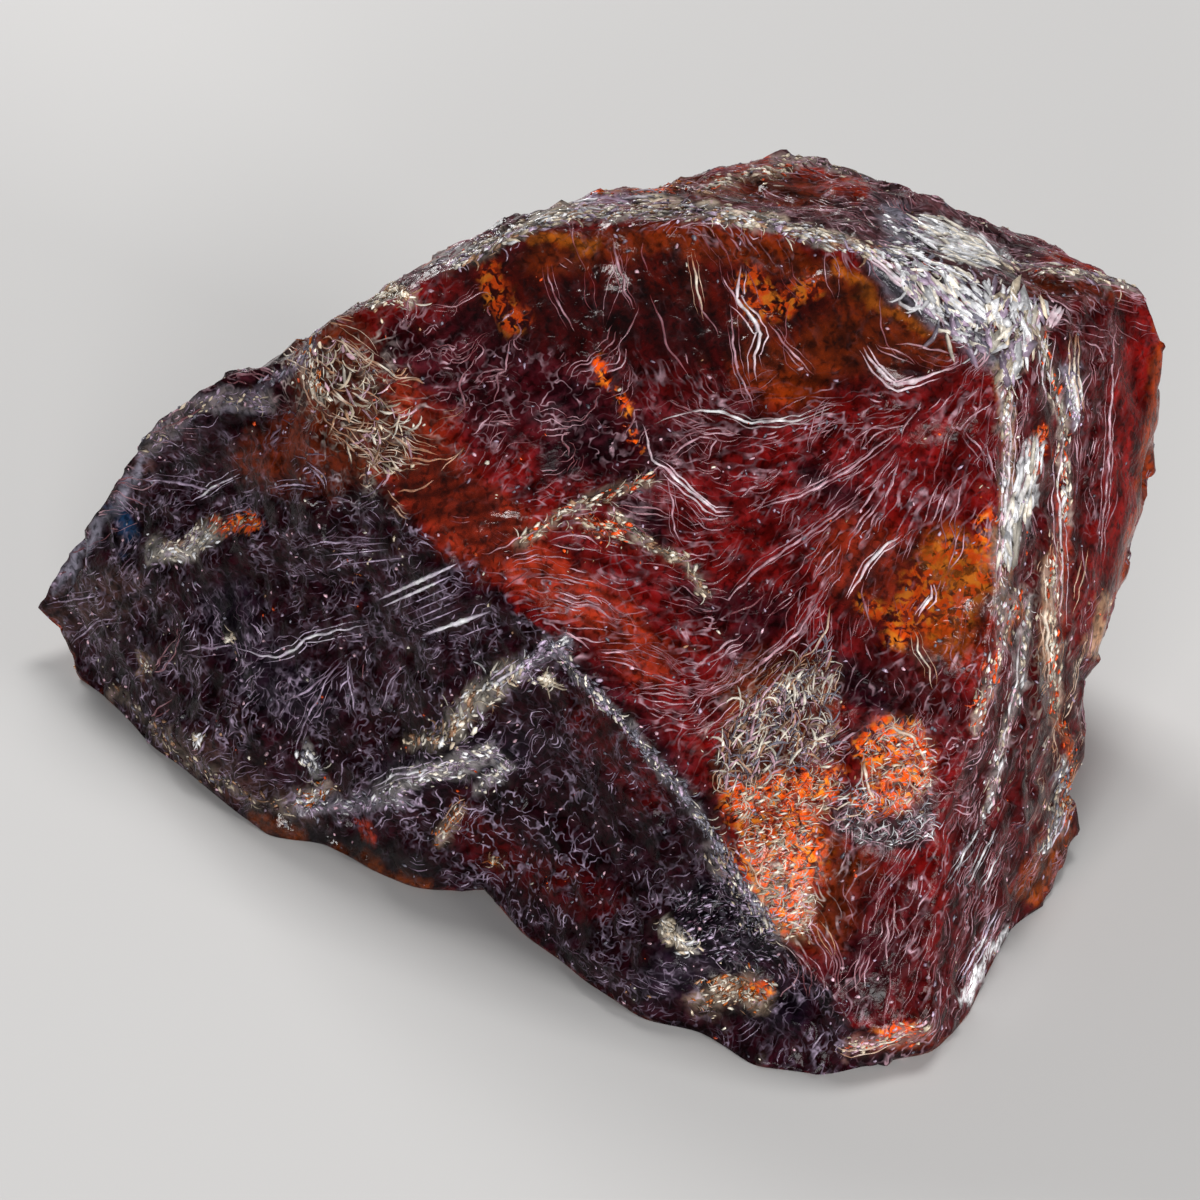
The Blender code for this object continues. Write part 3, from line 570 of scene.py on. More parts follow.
# Crusts of small grains: count, sizes in pixels, half width of the band, colours, points
CRUSTS = [
    (760, (5, 15), 8, (CREAM, PALE_CREAM, WHITE, LILAC, TAN), [
        (455, 266), (500, 238), (560, 216), (640, 210), (700, 212), (770, 224), (862, 249), (885, 262),
    ]),
    (120, (5, 14), 9, (CREAM, PALE_CREAM, TAN), [(372, 302), (392, 290), (408, 300)]),
    (110, (4, 10), 9, (PALE_CREAM, CREAM, AMBER), [(310, 345), (312, 372), (322, 400)]),
    (150, (4, 12), 6, (CREAM, PALE_CREAM, ORANGE, TAN), [
        (520, 543), (545, 524), (567, 508), (610, 496), (648, 477),
    ]),
    (110, (4, 11), 6, (CREAM, TAN, PALE_CREAM), [(612, 513), (634, 531), (655, 548), (684, 560), (706, 594)]),
    (90, (5, 13), 11, (ORANGE, BRIGHT_RED, CREAM), [(582, 520), (600, 528), (618, 534)]),
    (200, (4, 10), 14, (GREY, CREAM, LILAC, SLATE), [(712, 850), (745, 900), (765, 935)]),
    (560, (4, 12), 6, (GREY, LILAC, GREY, GREY, PALE_CREAM), [
        (545, 640), (592, 690), (645, 748), (700, 816), (742, 882), (772, 932),
    ]),
    (130, (5, 16), 15, (CREAM, PALE_CREAM, TAN, WHITE), [(450, 735), (470, 705), (490, 690), (520, 668)]),
    (60, (6, 15), 6, (PALE_CREAM, CREAM), [(548, 680)]),
    (90, (4, 13), 9, (LILAC, WHITE, GREY, PALE_BLUE), [(520, 668), (545, 652), (566, 640)]),
    (120, (4, 12), 10, (LILAC, WHITE, GREY, PALE_BLUE), [(300, 806), (340, 808), (388, 796), (404, 800)]),
    (110, (4, 12), 9, (LILAC, WHITE, GREY, PALE_CREAM), [(455, 760), (490, 750), (505, 770), (480, 790)]),
    (140, (4, 12), 9, (TAN, GREY, CREAM, PLUM_BROWN), [
        (115, 690), (150, 722), (190, 762), (240, 792), (290, 812),
    ]),
    (50, (5, 13), 8, (WHITE, GREY, PALE_CREAM), [(306, 752), (314, 772)]),
    (16, (5, 12), 4, (CREAM, PALE_CREAM), [(231, 639)]),
    (20, (5, 12), 4, (TAN, AMBER, CREAM), [(494, 861)]),
    (60, (5, 16), 8, (CREAM, PALE_CREAM, TAN), [(412, 742), (440, 738), (462, 722)]),
    (110, (4, 11), 14, (WHITE, LILAC, PALE_CREAM), [(388, 790), (430, 772), (468, 765)]),
    (60, (4, 9), 8, (PALE_CREAM, AMBER), [(440, 838), (462, 806)]),
    (70, (4, 10), 10, (CREAM, AMBER, WHITE), [(296, 797), (312, 800), (325, 790)]),
    (150, (4, 12), 12, (WHITE, CREAM, PALE_CREAM), [(152, 550), (185, 552), (212, 530)]),
    (110, (4, 11), 11, (GREY, LILAC, CREAM), [(150, 447), (182, 410), (225, 398), (268, 402)]),
    (120, (4, 12), 12, (GREY, LILAC, WHITE), [(890, 225), (925, 240), (900, 248)]),
    (150, (5, 13), 8, (WHITE, PALE_CREAM, CREAM), [(1022, 310), (1020, 345), (1008, 380)]),
    (150, (5, 12), 5, (CREAM, WHITE, PALE_ROSE), [(1006, 385), (1006, 460), (1000, 550), (1000, 620)]),
    (60, (4, 10), 6, (ORANGE, BRIGHT_RED), [(1044, 432), (1034, 470)]),
    (130, (4, 12), 8, (CREAM, ORANGE, WHITE), [(1018, 592), (1000, 650), (982, 700), (975, 728)]),
    (140, (4, 12), 7, (CREAM, PALE_CREAM, ORANGE), [(1050, 560), (1052, 640), (1056, 720)]),
    (100, (4, 11), 8, (WHITE, CREAM, GREY), [(1066, 760), (1064, 800), (1046, 850)]),
    (60, (4, 10), 6, (AMBER, ORANGE), [(1060, 722), (1072, 750), (1062, 840)]),
    (90, (4, 10), 7, (WHITE, PALE_BLUE), [(1070, 375), (1078, 420)]),
    (80, (5, 14), 10, (CREAM, WHITE, PALE_CREAM), [(664, 925), (690, 947)]),
    (190, (4, 11), 17, (CREAM, PALE_CREAM, TAN, AMBER), [(704, 1005), (735, 985), (762, 1000)]),
    (110, (4, 10), 9, (PALE_ROSE, CREAM, ORANGE), [(850, 1048), (900, 1036), (930, 1026)]),
    (90, (4, 10), 7, (ORANGE, AMBER, CREAM), [(560, 190), (640, 190), (690, 184)]),
    (70, (4, 10), 8, (CREAM, PALE_ROSE), [(775, 160), (820, 160), (850, 175)]),
    (70, (4, 10), 6, (GREY, LILAC), [(250, 392), (300, 366), (314, 330)]),
    (50, (4, 11), 5, (ORANGE, AMBER, CREAM), [(222, 528), (254, 518)]),
    (26, (4, 9), 4, (PALE_CREAM, PEACH, TAN), [(142, 660), (150, 672)]),
    (24, (6, 12), 4, (WHITE, CREAM), [(198, 738)]),
    (90, (5, 14), 8, (CREAM, PALE_CREAM, TAN, ORANGE), [(700, 190), (740, 176), (790, 168)]),
    (100, (5, 14), 6, (CREAM, PALE_CREAM, LILAC), [(1000, 262), (1060, 270), (1120, 282), (1160, 292)]),
    (150, (5, 14), 6, (CREAM, PALE_CREAM, WHITE, ORANGE), [(1040, 330), (1062, 420), (1066, 520)]),
    (110, (5, 13), 6, (CREAM, PALE_ROSE, WHITE), [(1030, 600), (1020, 680), (1000, 760), (985, 820)]),
]

# Crusts that fill an outline: count, sizes in pixels, share of flakes, degrees of the rows, ground colour,
# colours, outline
AREAS = [
    (900, (4, 11), 0.2, 18, BRIGHT_RED, (CREAM, PALE_CREAM, ORANGE, BRIGHT_RED, TAN), [
        (724, 800), (752, 786), (800, 772), (836, 760), (838, 800), (812, 822), (806, 868), (762, 872),
        (738, 840),
    ]),
    (420, (4, 11), 0.25, 12, TAN, (CREAM, PALE_CREAM, PALE_ROSE, BRIGHT_RED), [
        (736, 836), (762, 872), (806, 868), (812, 900), (806, 936), (778, 938), (758, 890),
    ]),
    (460, (4, 11), 0.2, 25, BRIGHT_RED, (CREAM, PALE_CREAM, ORANGE, TAN, PALE_ROSE), [
        (852, 744), (884, 726), (916, 726), (930, 752), (928, 792), (900, 816), (862, 812), (866, 780),
    ]),
    (260, (4, 11), 0.15, 20, PURPLE, (PALE_ROSE, GREY, WHITE), [
        (830, 790), (866, 780), (868, 812), (900, 818), (932, 800), (938, 838), (880, 850), (832, 832),
    ]),
    (700, (7, 18), 0.05, 66, BROWN, (TAN, GREY, PALE_CREAM, PALE_ROSE, PLUM_BROWN), [
        (716, 800), (712, 760), (736, 712), (772, 690), (800, 656), (826, 648), (826, 690), (836, 756),
        (800, 772), (752, 788),
    ]),
    (420, (4, 11), 0.5, 25, SLATE, (SLATE, GREY, PALE_BLUE, DUSK), [
        (668, 900), (712, 880), (742, 884), (772, 930), (778, 958), (740, 968), (690, 950),
    ]),
    (330, (8, 34), 0.8, -52, PLUM_BROWN, (LILAC, WHITE, WHITE, PALE_CREAM, GREY), [
        (878, 252), (905, 246), (940, 262), (975, 276), (985, 310), (985, 350), (955, 338), (915, 300),
    ]),
    (130, (12, 44), 0.9, 74, PLUM_BROWN, (WHITE, WHITE, PALE_CREAM, LILAC, CREAM), [
        (985, 282), (1034, 300), (1052, 300), (1036, 345), (1008, 395), (1000, 362), (988, 345),
    ]),
    (96, (14, 40), 1.0, -25, WHITE, (WHITE, WHITE, PALE_CREAM), [
        (912, 218), (940, 216), (968, 232), (1002, 256), (996, 266), (960, 264), (938, 250), (918, 238),
    ]),
    (230, (7, 18), 0.1, -50, BROWN, (TAN, CREAM, PALE_CREAM, PALE_ROSE, PLUM_BROWN), [
        (306, 345), (345, 332), (378, 378), (410, 440), (392, 476), (350, 452), (316, 405),
    ]),
    (46, (18, 56), 1.0, 76, WHITE, (WHITE, WHITE, PALE_CREAM), [
        (1030, 440), (1044, 446), (1038, 490), (1022, 520), (1010, 566), (998, 560), (1004, 520), (1016, 480),
    ]),
]
AREA_GROUND = 0.5
AREA_TRIES = 4
AREA_TURN = 0.24
AREA_SLIMNESS = 0.5

# Flakes, and the fibres between them
FLAKE_SHARE = 0.62
CRUST_SPREAD = 0.5
CRUST_TURN = 0.4
CRUST_SLIMNESS = 0.66
CRUMB_SIZE_POWER = 1.6
FIBRE_WIDTHS = (0.14, 0.3)
FLAKE_SIDES = 6
FLAKE_LENGTHS = (0.9, 1.6)
FLAKE_WIDTHS = (0.5, 0.95)
FLAKE_HEIGHTS = (0.2, 0.4)
MOST_FLAKE_HEIGHT = 1.4 * MOST_WISP_HEIGHT
FLAKE_SKEW = 0.3
FLAKE_CHIPS = (0.6, 1.0)
FLAKE_TILTS = (-0.3, 0.5)
FLAKE_LIGHT = (0.4, 1.1)
FIBRE_STRETCH = 2.2
FIBRE_DIM = 0.45
FIBRE_GLINTS = (0.5, 1.6)
FIBRE_RINGS = 6
FIBRE_BEND = 0.35
CRUST_GROUND = 0.28
CRUST_GROUND_WIDTH = 0.7

# Single grains: the share of them that stays in sight, and out of sight between the clusters
SCATTERED_GRAINS = 7000
GRAIN_SIZES = (0.05, 0.20)
SEEN_GRAINS = 0.5
LOOSE_GRAINS = 0.4
CLUSTER_SIZE = 1.6
CLUSTER_LEVEL = 0.30
CLUSTERED_TINTS = (CREAM, TAN, PALE_CREAM, ORANGE)
# The pale loose grains also stand for small glints: a painted highlight on raised crumbs
LOOSE_TINTS = (LILAC, GREY, PALE_ROSE)

# The floor and the lights: place in mm, size in mm, power in watts
FLOOR_SIZE = 3.0
FLOOR_DROP = 0.00002
FLOOR_COLOUR = (0.52, 0.51, 0.50, 1)
FLOOR_ROUGHNESS = 0.8
LIGHTS = {
    "key": ((215, -180, 75), 80, 0.64),
    "fill": ((-40, -245, 60), 80, 0.52),
    "top": ((40, 70, 250), 90, 0.34),
    "rim": ((-110, 190, 120), 70, 0.42),
}
LIT_PLACE = Vector((0, 0, 8))
WORLD_COLOUR = (0.9, 0.93, 1.0, 1)
WORLD_STRENGTH = 0.12


def picture_places(points):
    """The photograph's pixels, (n, 2), of points on the stone, (n, 3) in millimetres."""
    points = points - np.array(LAYOUT_ORIGIN)
    near = points @ np.array(TOWARDS)
    height = points @ np.array(UP)
    shrink = 1 - near / EYE_DISTANCE
    across = points[:, 0] / shrink
    up = EYE_LEVEL + (height - EYE_LEVEL) / shrink
    return np.stack(
        [MIDDLE_PIXEL + across / MM_PER_PIXEL, LOWEST_CORNER_PIXEL - up / MM_PER_PIXEL], axis=1
    )


def eye_place():
    """The camera's place."""
    return LAYOUT_ORIGIN + UP * EYE_LEVEL + TOWARDS * EYE_DISTANCE


def picture_plane_point(pixel):
    """The point of the layout's plane that a pixel shows."""
    across = (pixel[0] - MIDDLE_PIXEL) * MM_PER_PIXEL
    up = (LOWEST_CORNER_PIXEL - pixel[1]) * MM_PER_PIXEL
    return LAYOUT_ORIGIN + RIGHT * across + UP * up


def add_camera():
    """A long lens at the photograph's angle, with its framing."""
    camera = bpy.data.objects.new("camera", bpy.data.cameras.new("camera"))
    bpy.context.scene.collection.objects.link(camera)
    camera.data.sensor_width = SENSOR
    camera.data.lens = SENSOR / (FRAME_PIXELS * MM_PER_PIXEL) * EYE_DISTANCE
    camera.data.clip_start = 0.01
    camera.location = eye_place() * MM
    aim = picture_plane_point((MIDDLE_PIXEL, MIDDLE_PIXEL)) - eye_place()
    camera.rotation_euler = aim.to_track_quat("-Z", "Y").to_euler()
    bpy.context.scene.camera = camera


def fine_mesh(node):
    """A finer copy of the node's mesh: its edges stay sharp, and its small facets are rounded."""
    bm = bmesh.new()
    bm.from_mesh(node.data)
    bmesh.ops.remove_doubles(bm, verts=bm.verts, dist=1e-6)
    crease = bm.edges.layers.float.new("crease_edge")
    for edge in bm.edges:
        edge[crease] = 1.0 if edge.calc_face_angle(0) > CREASE_ANGLE else 0.0
    rough = bpy.data.meshes.new("rough")
    bm.to_mesh(rough)
    bm.free()
    rough.materials.clear()
    holder = bpy.data.objects.new("rough", rough)
    bpy.context.scene.collection.objects.link(holder)
    finer = holder.modifiers.new("finer", "SUBSURF")
    finer.levels = SUBDIVISIONS
    finer.render_levels = SUBDIVISIONS
    graph = bpy.context.evaluated_depsgraph_get()
    mesh = bpy.data.meshes.new_from_object(holder.evaluated_get(graph))
    bpy.data.objects.remove(holder)
    return mesh


def vertex_arrays(mesh):
    """Places in millimetres, and normals, of a mesh's vertices."""
    places = np.empty(len(mesh.vertices) * 3)
    mesh.vertices.foreach_get("co", places)
    normals = np.empty(len(mesh.vertices) * 3)
    mesh.vertices.foreach_get("normal", normals)
    return places.reshape(-1, 3) / MM, normals.reshape(-1, 3)


def noise_field(places, size, shift=0.0):
    """Smooth noise from -1 to 1 at each place."""
    offset = Vector((shift, shift * 1.7, shift * 0.3))
    return np.array([noise.noise(Vector(place) / size + offset) for place in places])


def facet_heights(places, rng):
    """Small tilted fracture planes, which meet along sharp edges."""
    seeds = rng.sample(range(len(places)), FACETS)
    tree = KDTree(len(seeds))
    for number, seed in enumerate(seeds):
        tree.insert(places[seed], number)
    tree.balance()
    tilts = [Vector([rng.gauss(0, FACET_SLOPE) for _ in range(3)]) for _ in seeds]
    offsets = [rng.gauss(0, FACET_OFFSET) for _ in seeds]
    heights = np.empty(len(places))
    for number, place in enumerate(places):
        near = tree.find_n(place, FACET_NEIGHBOURS)
        total = height = 0.0
        for centre, facet, distance in near:
            weight = math.exp((near[0][2] - distance) / FACET_BLEND)
            height += weight * (tilts[facet].dot(Vector(place) - centre) + offsets[facet])
            total += weight
        heights[number] = height / total
    return heights


def roughen(mesh, rng):
    """Fine fracture relief, along the normals. What lies on the table stays there."""
    places, normals = vertex_arrays(mesh)
    pixels = picture_places(places)
    front = front_share(normals) > 0.5
    facets = facet_heights(places, rng)
    facets *= np.where(front & inside(pixels, MAIN_FACE), SMOOTH_FACE_SHARE, 1.0)
    ripples = 1 - 2 * np.abs(noise_field(places, RIPPLE_SIZE))
    grain = noise_field(places, GRAIN_SIZE)
    height = facets + RIPPLE_HEIGHT * ripples + GRAIN_HEIGHT * grain
    height *= np.where(front & inside(pixels, SMOOTH_STRIP), STRIP_RELIEF_SHARE, 1.0)
    lying = places[:, 2] < LYING_HEIGHT
    moved = places + normals * height[:, None]
    moved[:, 2] = np.maximum(moved[:, 2], 0.0)
    moved[lying] = places[lying]
    mesh.vertices.foreach_set("co", (moved * MM).ravel())
    mesh.update()


def inside(pixels, outline):
    """True for each pixel inside an outline."""
    found = np.zeros(len(pixels), bool)
    x, y = pixels[:, 0], pixels[:, 1]
    for (x1, y1), (x2, y2) in zip(outline, outline[1:] + outline[:1]):
        if y1 == y2:
            continue
        crosses = (y1 > y) != (y2 > y)
        found ^= crosses & (x < (x2 - x1) * (y - y1) / (y2 - y1) + x1)
    return found


def distance_to_line(pixels, points):
    """Each pixel's distance to a line through points, or to a single point."""
    points = [np.array(point, float) for point in points]
    nearest = np.linalg.norm(pixels - points[0], axis=1)
    for start, end in zip(points, points[1:]):
        run = end - start
        along = np.clip((pixels - start) @ run / (run @ run), 0, 1)
        nearest = np.minimum(nearest, np.linalg.norm(pixels - start - along[:, None] * run, axis=1))
    return nearest


def smooth_share(values):
    """0 to 1 with soft ends."""
    values = np.clip(values, 0, 1)
    return values * values * (3 - 2 * values)


def noise_share(places, size, shift, start, width):
    """1 where noise is above a level, and 0 well below it."""
    return smooth_share((noise_field(places, size, shift) - start) / width)


def patch_share(pixels, half_width, points):
    """1 inside a patch, fading to 0 outside it."""
    beyond = distance_to_line(pixels, points) - half_width
    return smooth_share(0.5 - beyond / (2 * PATCH_SOFTNESS * half_width))


def warped(pixels, places):
    """Pixels moved a little by noise, so that patches have ragged edges."""
    moved = pixels.copy()
    for number, (reach, size) in enumerate(PATCH_WARPS):
        for axis in range(2):
            shift = 10.0 * number + 5.0 * axis + 3.0
            moved[:, axis] += reach * noise_field(places, size * MM_PER_PIXEL, shift)
    return moved


def front_share(normals):
    """1 where the surface faces the camera, and 0 where it is out of its sight."""
    return smooth_share((normals @ np.array(TOWARDS) - FRONT_START) / FRONT_WIDTH)


class Surface:
    """The stone's vertices: their places, normals and pixels, and how far the camera sees each."""

    def __init__(self, mesh):
        self.places, self.normals = vertex_arrays(mesh)
        self.pixels = picture_places(self.places)
        self.ragged = warped(self.pixels, self.places)
        self.front = front_share(self.normals)

    def both(self, seen, hidden):
        """One value in the camera's sight and another one out of it, blended between."""
        front = self.front.reshape(-1, *[1] * (np.ndim(seen) - 1))
        return seen * front + hidden * (1 - front)


def hidden_colours(places):
    """The colours of the sides that the photograph doesn't show: the same ones, in patches of their own."""
    colours = np.tile(np.array(PURPLE), (len(places), 1))
    for colour, patches in HIDDEN_BANDS:
        share = noise_share(places, *patches)[:, None]
        colours = colours * (1 - share) + np.array(colour) * share
    return colours


def ground_colours(surface):
    """The stone's colour at each vertex."""
    pixels = surface.ragged
    seen = np.tile(np.array(DARK_PURPLE), (len(pixels), 1))
    for outline, colour in FACE_COLOURS:
        seen[inside(pixels, outline)] = colour
    under = [
        (np.mean(tints, axis=0) * CRUST_GROUND, half_width * CRUST_GROUND_WIDTH, points)
        for _, _, half_width, tints, points in CRUSTS
    ]
    for colour, half_width, points in PATCHES + under:
        share = patch_share(pixels, half_width, points)[:, None]
        seen = seen * (1 - share) + np.array(colour) * share
    for *_, ground, _, outline in AREAS:
        seen[inside(pixels, outline)] = np.array(ground) * AREA_GROUND
    return surface.both(seen, hidden_colours(surface.places))


def guide_angles(pixels):
    """Wisps' headings at pixels, in radians. Lines have no front end, so doubled angles are averaged."""
    doubled = 2 * np.radians([degrees for _, degrees in GUIDES])
    sines, cosines = np.zeros(len(pixels)), np.zeros(len(pixels))
    for (place, _), angle in zip(GUIDES, doubled):
        weights = 1 / (((pixels - place) ** 2).sum(axis=1) + GUIDE_REACH**2) ** 2
        sines += weights * np.sin(angle)
        cosines += weights * np.cos(angle)
    return np.arctan2(sines, cosines) / 2


def streaks(surface):
    """Streaks along the flow, 0 to 1: noise that is averaged along the way that wisps run."""
    total = np.zeros(len(surface.pixels))
    for way in (1, -1):
        pixels = surface.pixels
        last = None
        for _ in range(STREAK_STEPS):
            angles = guide_angles(pixels)
            run = np.stack([np.cos(angles), -np.sin(angles)], axis=1)
            if last is not None:
                run *= np.sign((run * last).sum(axis=1) + 1e-9)[:, None]
            last = run
            pixels = pixels + run * (way * STREAK_STEP)
            flat = np.column_stack([pixels, np.zeros(len(pixels))])
            total += noise_field(flat, STREAK_WIDTH)
    seen = (total - total.mean()) / total.std()
    hidden = noise_field(surface.places / np.array(HIDDEN_STREAK), 1.0)
    hidden = (hidden - hidden.mean()) / hidden.std()
    return np.clip(0.5 + STREAK_CONTRAST * surface.both(seen, hidden), 0, 1)


def staying_share(pixels):
    """The share of wisps and lines that stays at each pixel."""
    staying = np.ones(len(pixels))
    for share, half_width, points in BARE_PATCHES:
        staying = np.minimum(staying, 1 - (1 - share) * patch_share(pixels, half_width, points))
    return staying


def milky_share(surface, streak):
    """How far the stone is milky at each vertex: along the streaks, but not where wisps are few."""
    milky = smooth_share((streak - MILKY_START) / MILKY_WIDTH)
    return MILKY * milky * surface.both(staying_share(surface.ragged), 1.0)


def streaked(surface, colours, streak):
    """The stone's colours, darker between the streaks and milky along them."""
    low, high = STREAK_SHADES
    shaded = colours * (low + (high - low) * streak)[:, None]
    on_dark = inside(surface.pixels, DARK_FACE) & (surface.front > 0.5)
    milk = np.where(on_dark[:, None], np.array(DARK_MILK), np.array(MILK))
    share = milky_share(surface, streak)[:, None]
    return shaded * (1 - share) + milk * share


def flow_shares(pixels):
    """How far the flow takes each of the three directions at each vertex."""
    turns = guide_angles(pixels)[:, None] - np.radians(FLOW_DEGREES)
    turns = (turns + math.pi / 2) % math.pi - math.pi / 2
    return np.maximum(0, np.cos(FLOW_SHARPNESS * turns)) ** 2


def line_colours(surface):
    """The pale colour of the fine lines at each vertex, which paints their highlights."""
    front = surface.front > 0.5
    on_dark = inside(surface.ragged, DARK_FACE) & front
    colours = np.where(on_dark[:, None], np.array(PALE_BLUE), np.array(PALE_ROSE))
    for half_width, points in BUFF_PATCHES:
        share = (patch_share(surface.ragged, half_width, points) * front)[:, None]
        colours = colours * (1 - share) + np.array(PALE_CREAM) * share
    return colours


def covered(pixels, patches, spread=1.0):
    """How far any of the patches covers each pixel, 0 to 1."""
    share = np.zeros(len(pixels))
    for half_width, points in patches:
        share = np.maximum(share, patch_share(pixels, half_width * spread, points))
    return share


def line_shares(surface, streak):
    """How strong the fine lines are at each vertex, and how far they make a net."""
    low, high = LINE_SHARE
    strong = (low + (high - low) * streak) * surface.both(staying_share(surface.ragged), 1.0)
    curly = inside(surface.ragged, DARK_FACE) * DARK_CURL
    curly = np.maximum(curly, covered(surface.ragged, CURLY_PATCHES))
    for *_, outline in AREAS:
        curly[inside(surface.ragged, outline)] = AREA_CURL
    return strong, curly * surface.front


def painted_glow_share(surface):
    """How far the painted orange glow of inner reflections covers the stone at each vertex, 0 to 1."""
    small, large = (noise_share(surface.places, *patches) for patches in HIDDEN_PAINTED_GLOW)
    return surface.both(covered(surface.ragged, PAINTED_GLOW_FLECKS, PAINTED_GLOW_SPREAD), small * large)


def clearness(surface):
    """How far the stone can be seen into at each vertex, 0 to 1."""
    hidden = noise_share(surface.places, *HIDDEN_CLEAR)
    return surface.both(covered(surface.ragged, CLEAR_PATCHES), hidden)


def set_colour(mesh, name, colours):
    """Stores a colour for each vertex."""
    layer = mesh.attributes.new(name, "FLOAT_COLOR", "POINT")
    values = np.ones((len(colours), 4))
    values[:, :3] = colours
    layer.data.foreach_set("color", values.ravel())


def set_value(mesh, name, values):
    """Stores a number for each vertex."""
    layer = mesh.attributes.new(name, "FLOAT", "POINT")
    layer.data.foreach_set("value", values)


class Nodes:
    """A material's nodes, added one at a time and joined as they are made."""

    def __init__(self, name):
        self.material = bpy.data.materials.new(name)
        self.material.use_nodes = True
        self.tree = self.material.node_tree
        self.shader = self.tree.nodes["Principled BSDF"]
        self.output = self.tree.nodes["Material Output"]

    def add(self, kind, values=(), **settings):
        """A node, with its values by socket: each is a number, a colour or another node's socket."""
        node = self.tree.nodes.new(kind)
        for name, value in settings.items():
            setattr(node, name, value)
        self.fill(node, values)
        return node

    def fill(self, node, values):
        """Sets or joins a node's sockets."""
        for socket, value in dict(values).items():
            if isinstance(value, bpy.types.NodeSocket):
                self.tree.links.new(value, node.inputs[socket])
            else:
                node.inputs[socket].default_value = value

    def noise(self, place, size, detail, distortion=0.0):
        """Smooth noise whose lumps are about this many millimetres across."""
        values = {"Vector": place, "Scale": 1 / (size * MM), "Detail": detail, "Distortion": distortion}
        return self.add("ShaderNodeTexNoise", values).outputs["Fac"]

    def ramp(self, value, stops):
        """A ramp of greys: (position, grey), from the lowest up."""
        node = self.add("ShaderNodeValToRGB", {"Fac": value})
        elements = node.color_ramp.elements
        for number, (position, grey) in enumerate(stops):
            element = elements[number] if number < 2 else elements.new(position)
            element.position = position
            element.color = (grey, grey, grey, 1)
        return node.outputs["Color"]

    def cloud(self, place, size, detail, distortion, stops):
        """Noise through a ramp of greys."""
        return self.ramp(self.noise(place, size, detail, distortion), stops)

    def mix(self, share, first, second, blend="MIX"):
        """Two colours mixed."""
        node = self.add("ShaderNodeMix", data_type="RGBA", blend_type=blend)
        self.fill(node, {0: share, 6: first, 7: second})
        return node.outputs[2]

    def math(self, operation, first, second=0.0):
        """Arithmetic."""
        return self.add("ShaderNodeMath", {0: first, 1: second}, operation=operation).outputs[0]

    def attribute(self, name, output="Color"):
        """A value stored on the mesh."""
        return self.add("ShaderNodeAttribute", attribute_name=name).outputs[output]

    def lines(self, place, spacing, degrees=0.0, stretch=1.0):
        """Thin lines, drawn out along one direction of the picture."""
        turn = math.radians(degrees)
        along = RIGHT * math.cos(turn) + UP * math.sin(turn)
        turned = Matrix((along, TOWARDS.cross(along), TOWARDS)).transposed().to_euler()
        values = {"Vector": place, "Rotation": tuple(turned), "Scale": (stretch, 1, 1)}
        drawn = self.add("ShaderNodeMapping", values, vector_type="TEXTURE").outputs[0]
        middle = self.math("SUBTRACT", self.noise(drawn, spacing, 1), 0.5)
        return self.ramp(self.math("ABSOLUTE", middle), LINE_STOPS)

    def warp(self, place, size, reach):
        """Places moved by noise."""
        values = {"Vector": place, "Scale": 1 / (size * MM), "Detail": 1.0}
        moved = self.add("ShaderNodeTexNoise", values).outputs["Color"]
        centred = self.vector_math("SUBTRACT", {0: moved, 1: (0.5, 0.5, 0.5)})
        scaled = self.vector_math("SCALE", {0: centred, "Scale": reach * MM})
        return self.vector_math("ADD", {0: place, 1: scaled})

    def vector_math(self, operation, values):
        """Arithmetic with vectors."""
        return self.add("ShaderNodeVectorMath", values, operation=operation).outputs[0]

    def bump(self, height, strength, depth):
        """Relief from a height, with its depth in millimetres."""
        values = {"Height": height, "Strength": strength, "Distance": depth * MM}
        return self.add("ShaderNodeBump", values).outputs["Normal"]


def fine_lines(nodes, place):
    """Hair-fine fracture lines, whose pale colour paints their highlights: along the flow on the open faces,
    and in a net where they curl.
    """
    shares = nodes.add("ShaderNodeSeparateColor", {"Color": nodes.attribute("flow")}).outputs
    curled = nodes.warp(place, LINE_WARP_SIZE, LINE_WARP)
    total = 0.0
    for degrees, share in zip(FLOW_DEGREES, shares):
        drawn = nodes.lines(curled, LINE_SPACING, degrees, LINE_STRETCH)
        total = nodes.math("ADD", nodes.math("MULTIPLY", drawn, share), total)
    net = nodes.lines(nodes.warp(place, NET_WARP_SIZE, NET_WARP), NET_SPACING)
    curly = nodes.attribute("curly", "Fac")
    flowing = nodes.math("MULTIPLY", total, nodes.math("SUBTRACT", 1.0, curly))
    both = nodes.math("ADD", flowing, nodes.math("MULTIPLY", net, curly))
    patchy = nodes.math("MULTIPLY", both, nodes.cloud(place, *LINE_PATCHES))
    return nodes.math("MULTIPLY", patchy, nodes.attribute("strong", "Fac"))


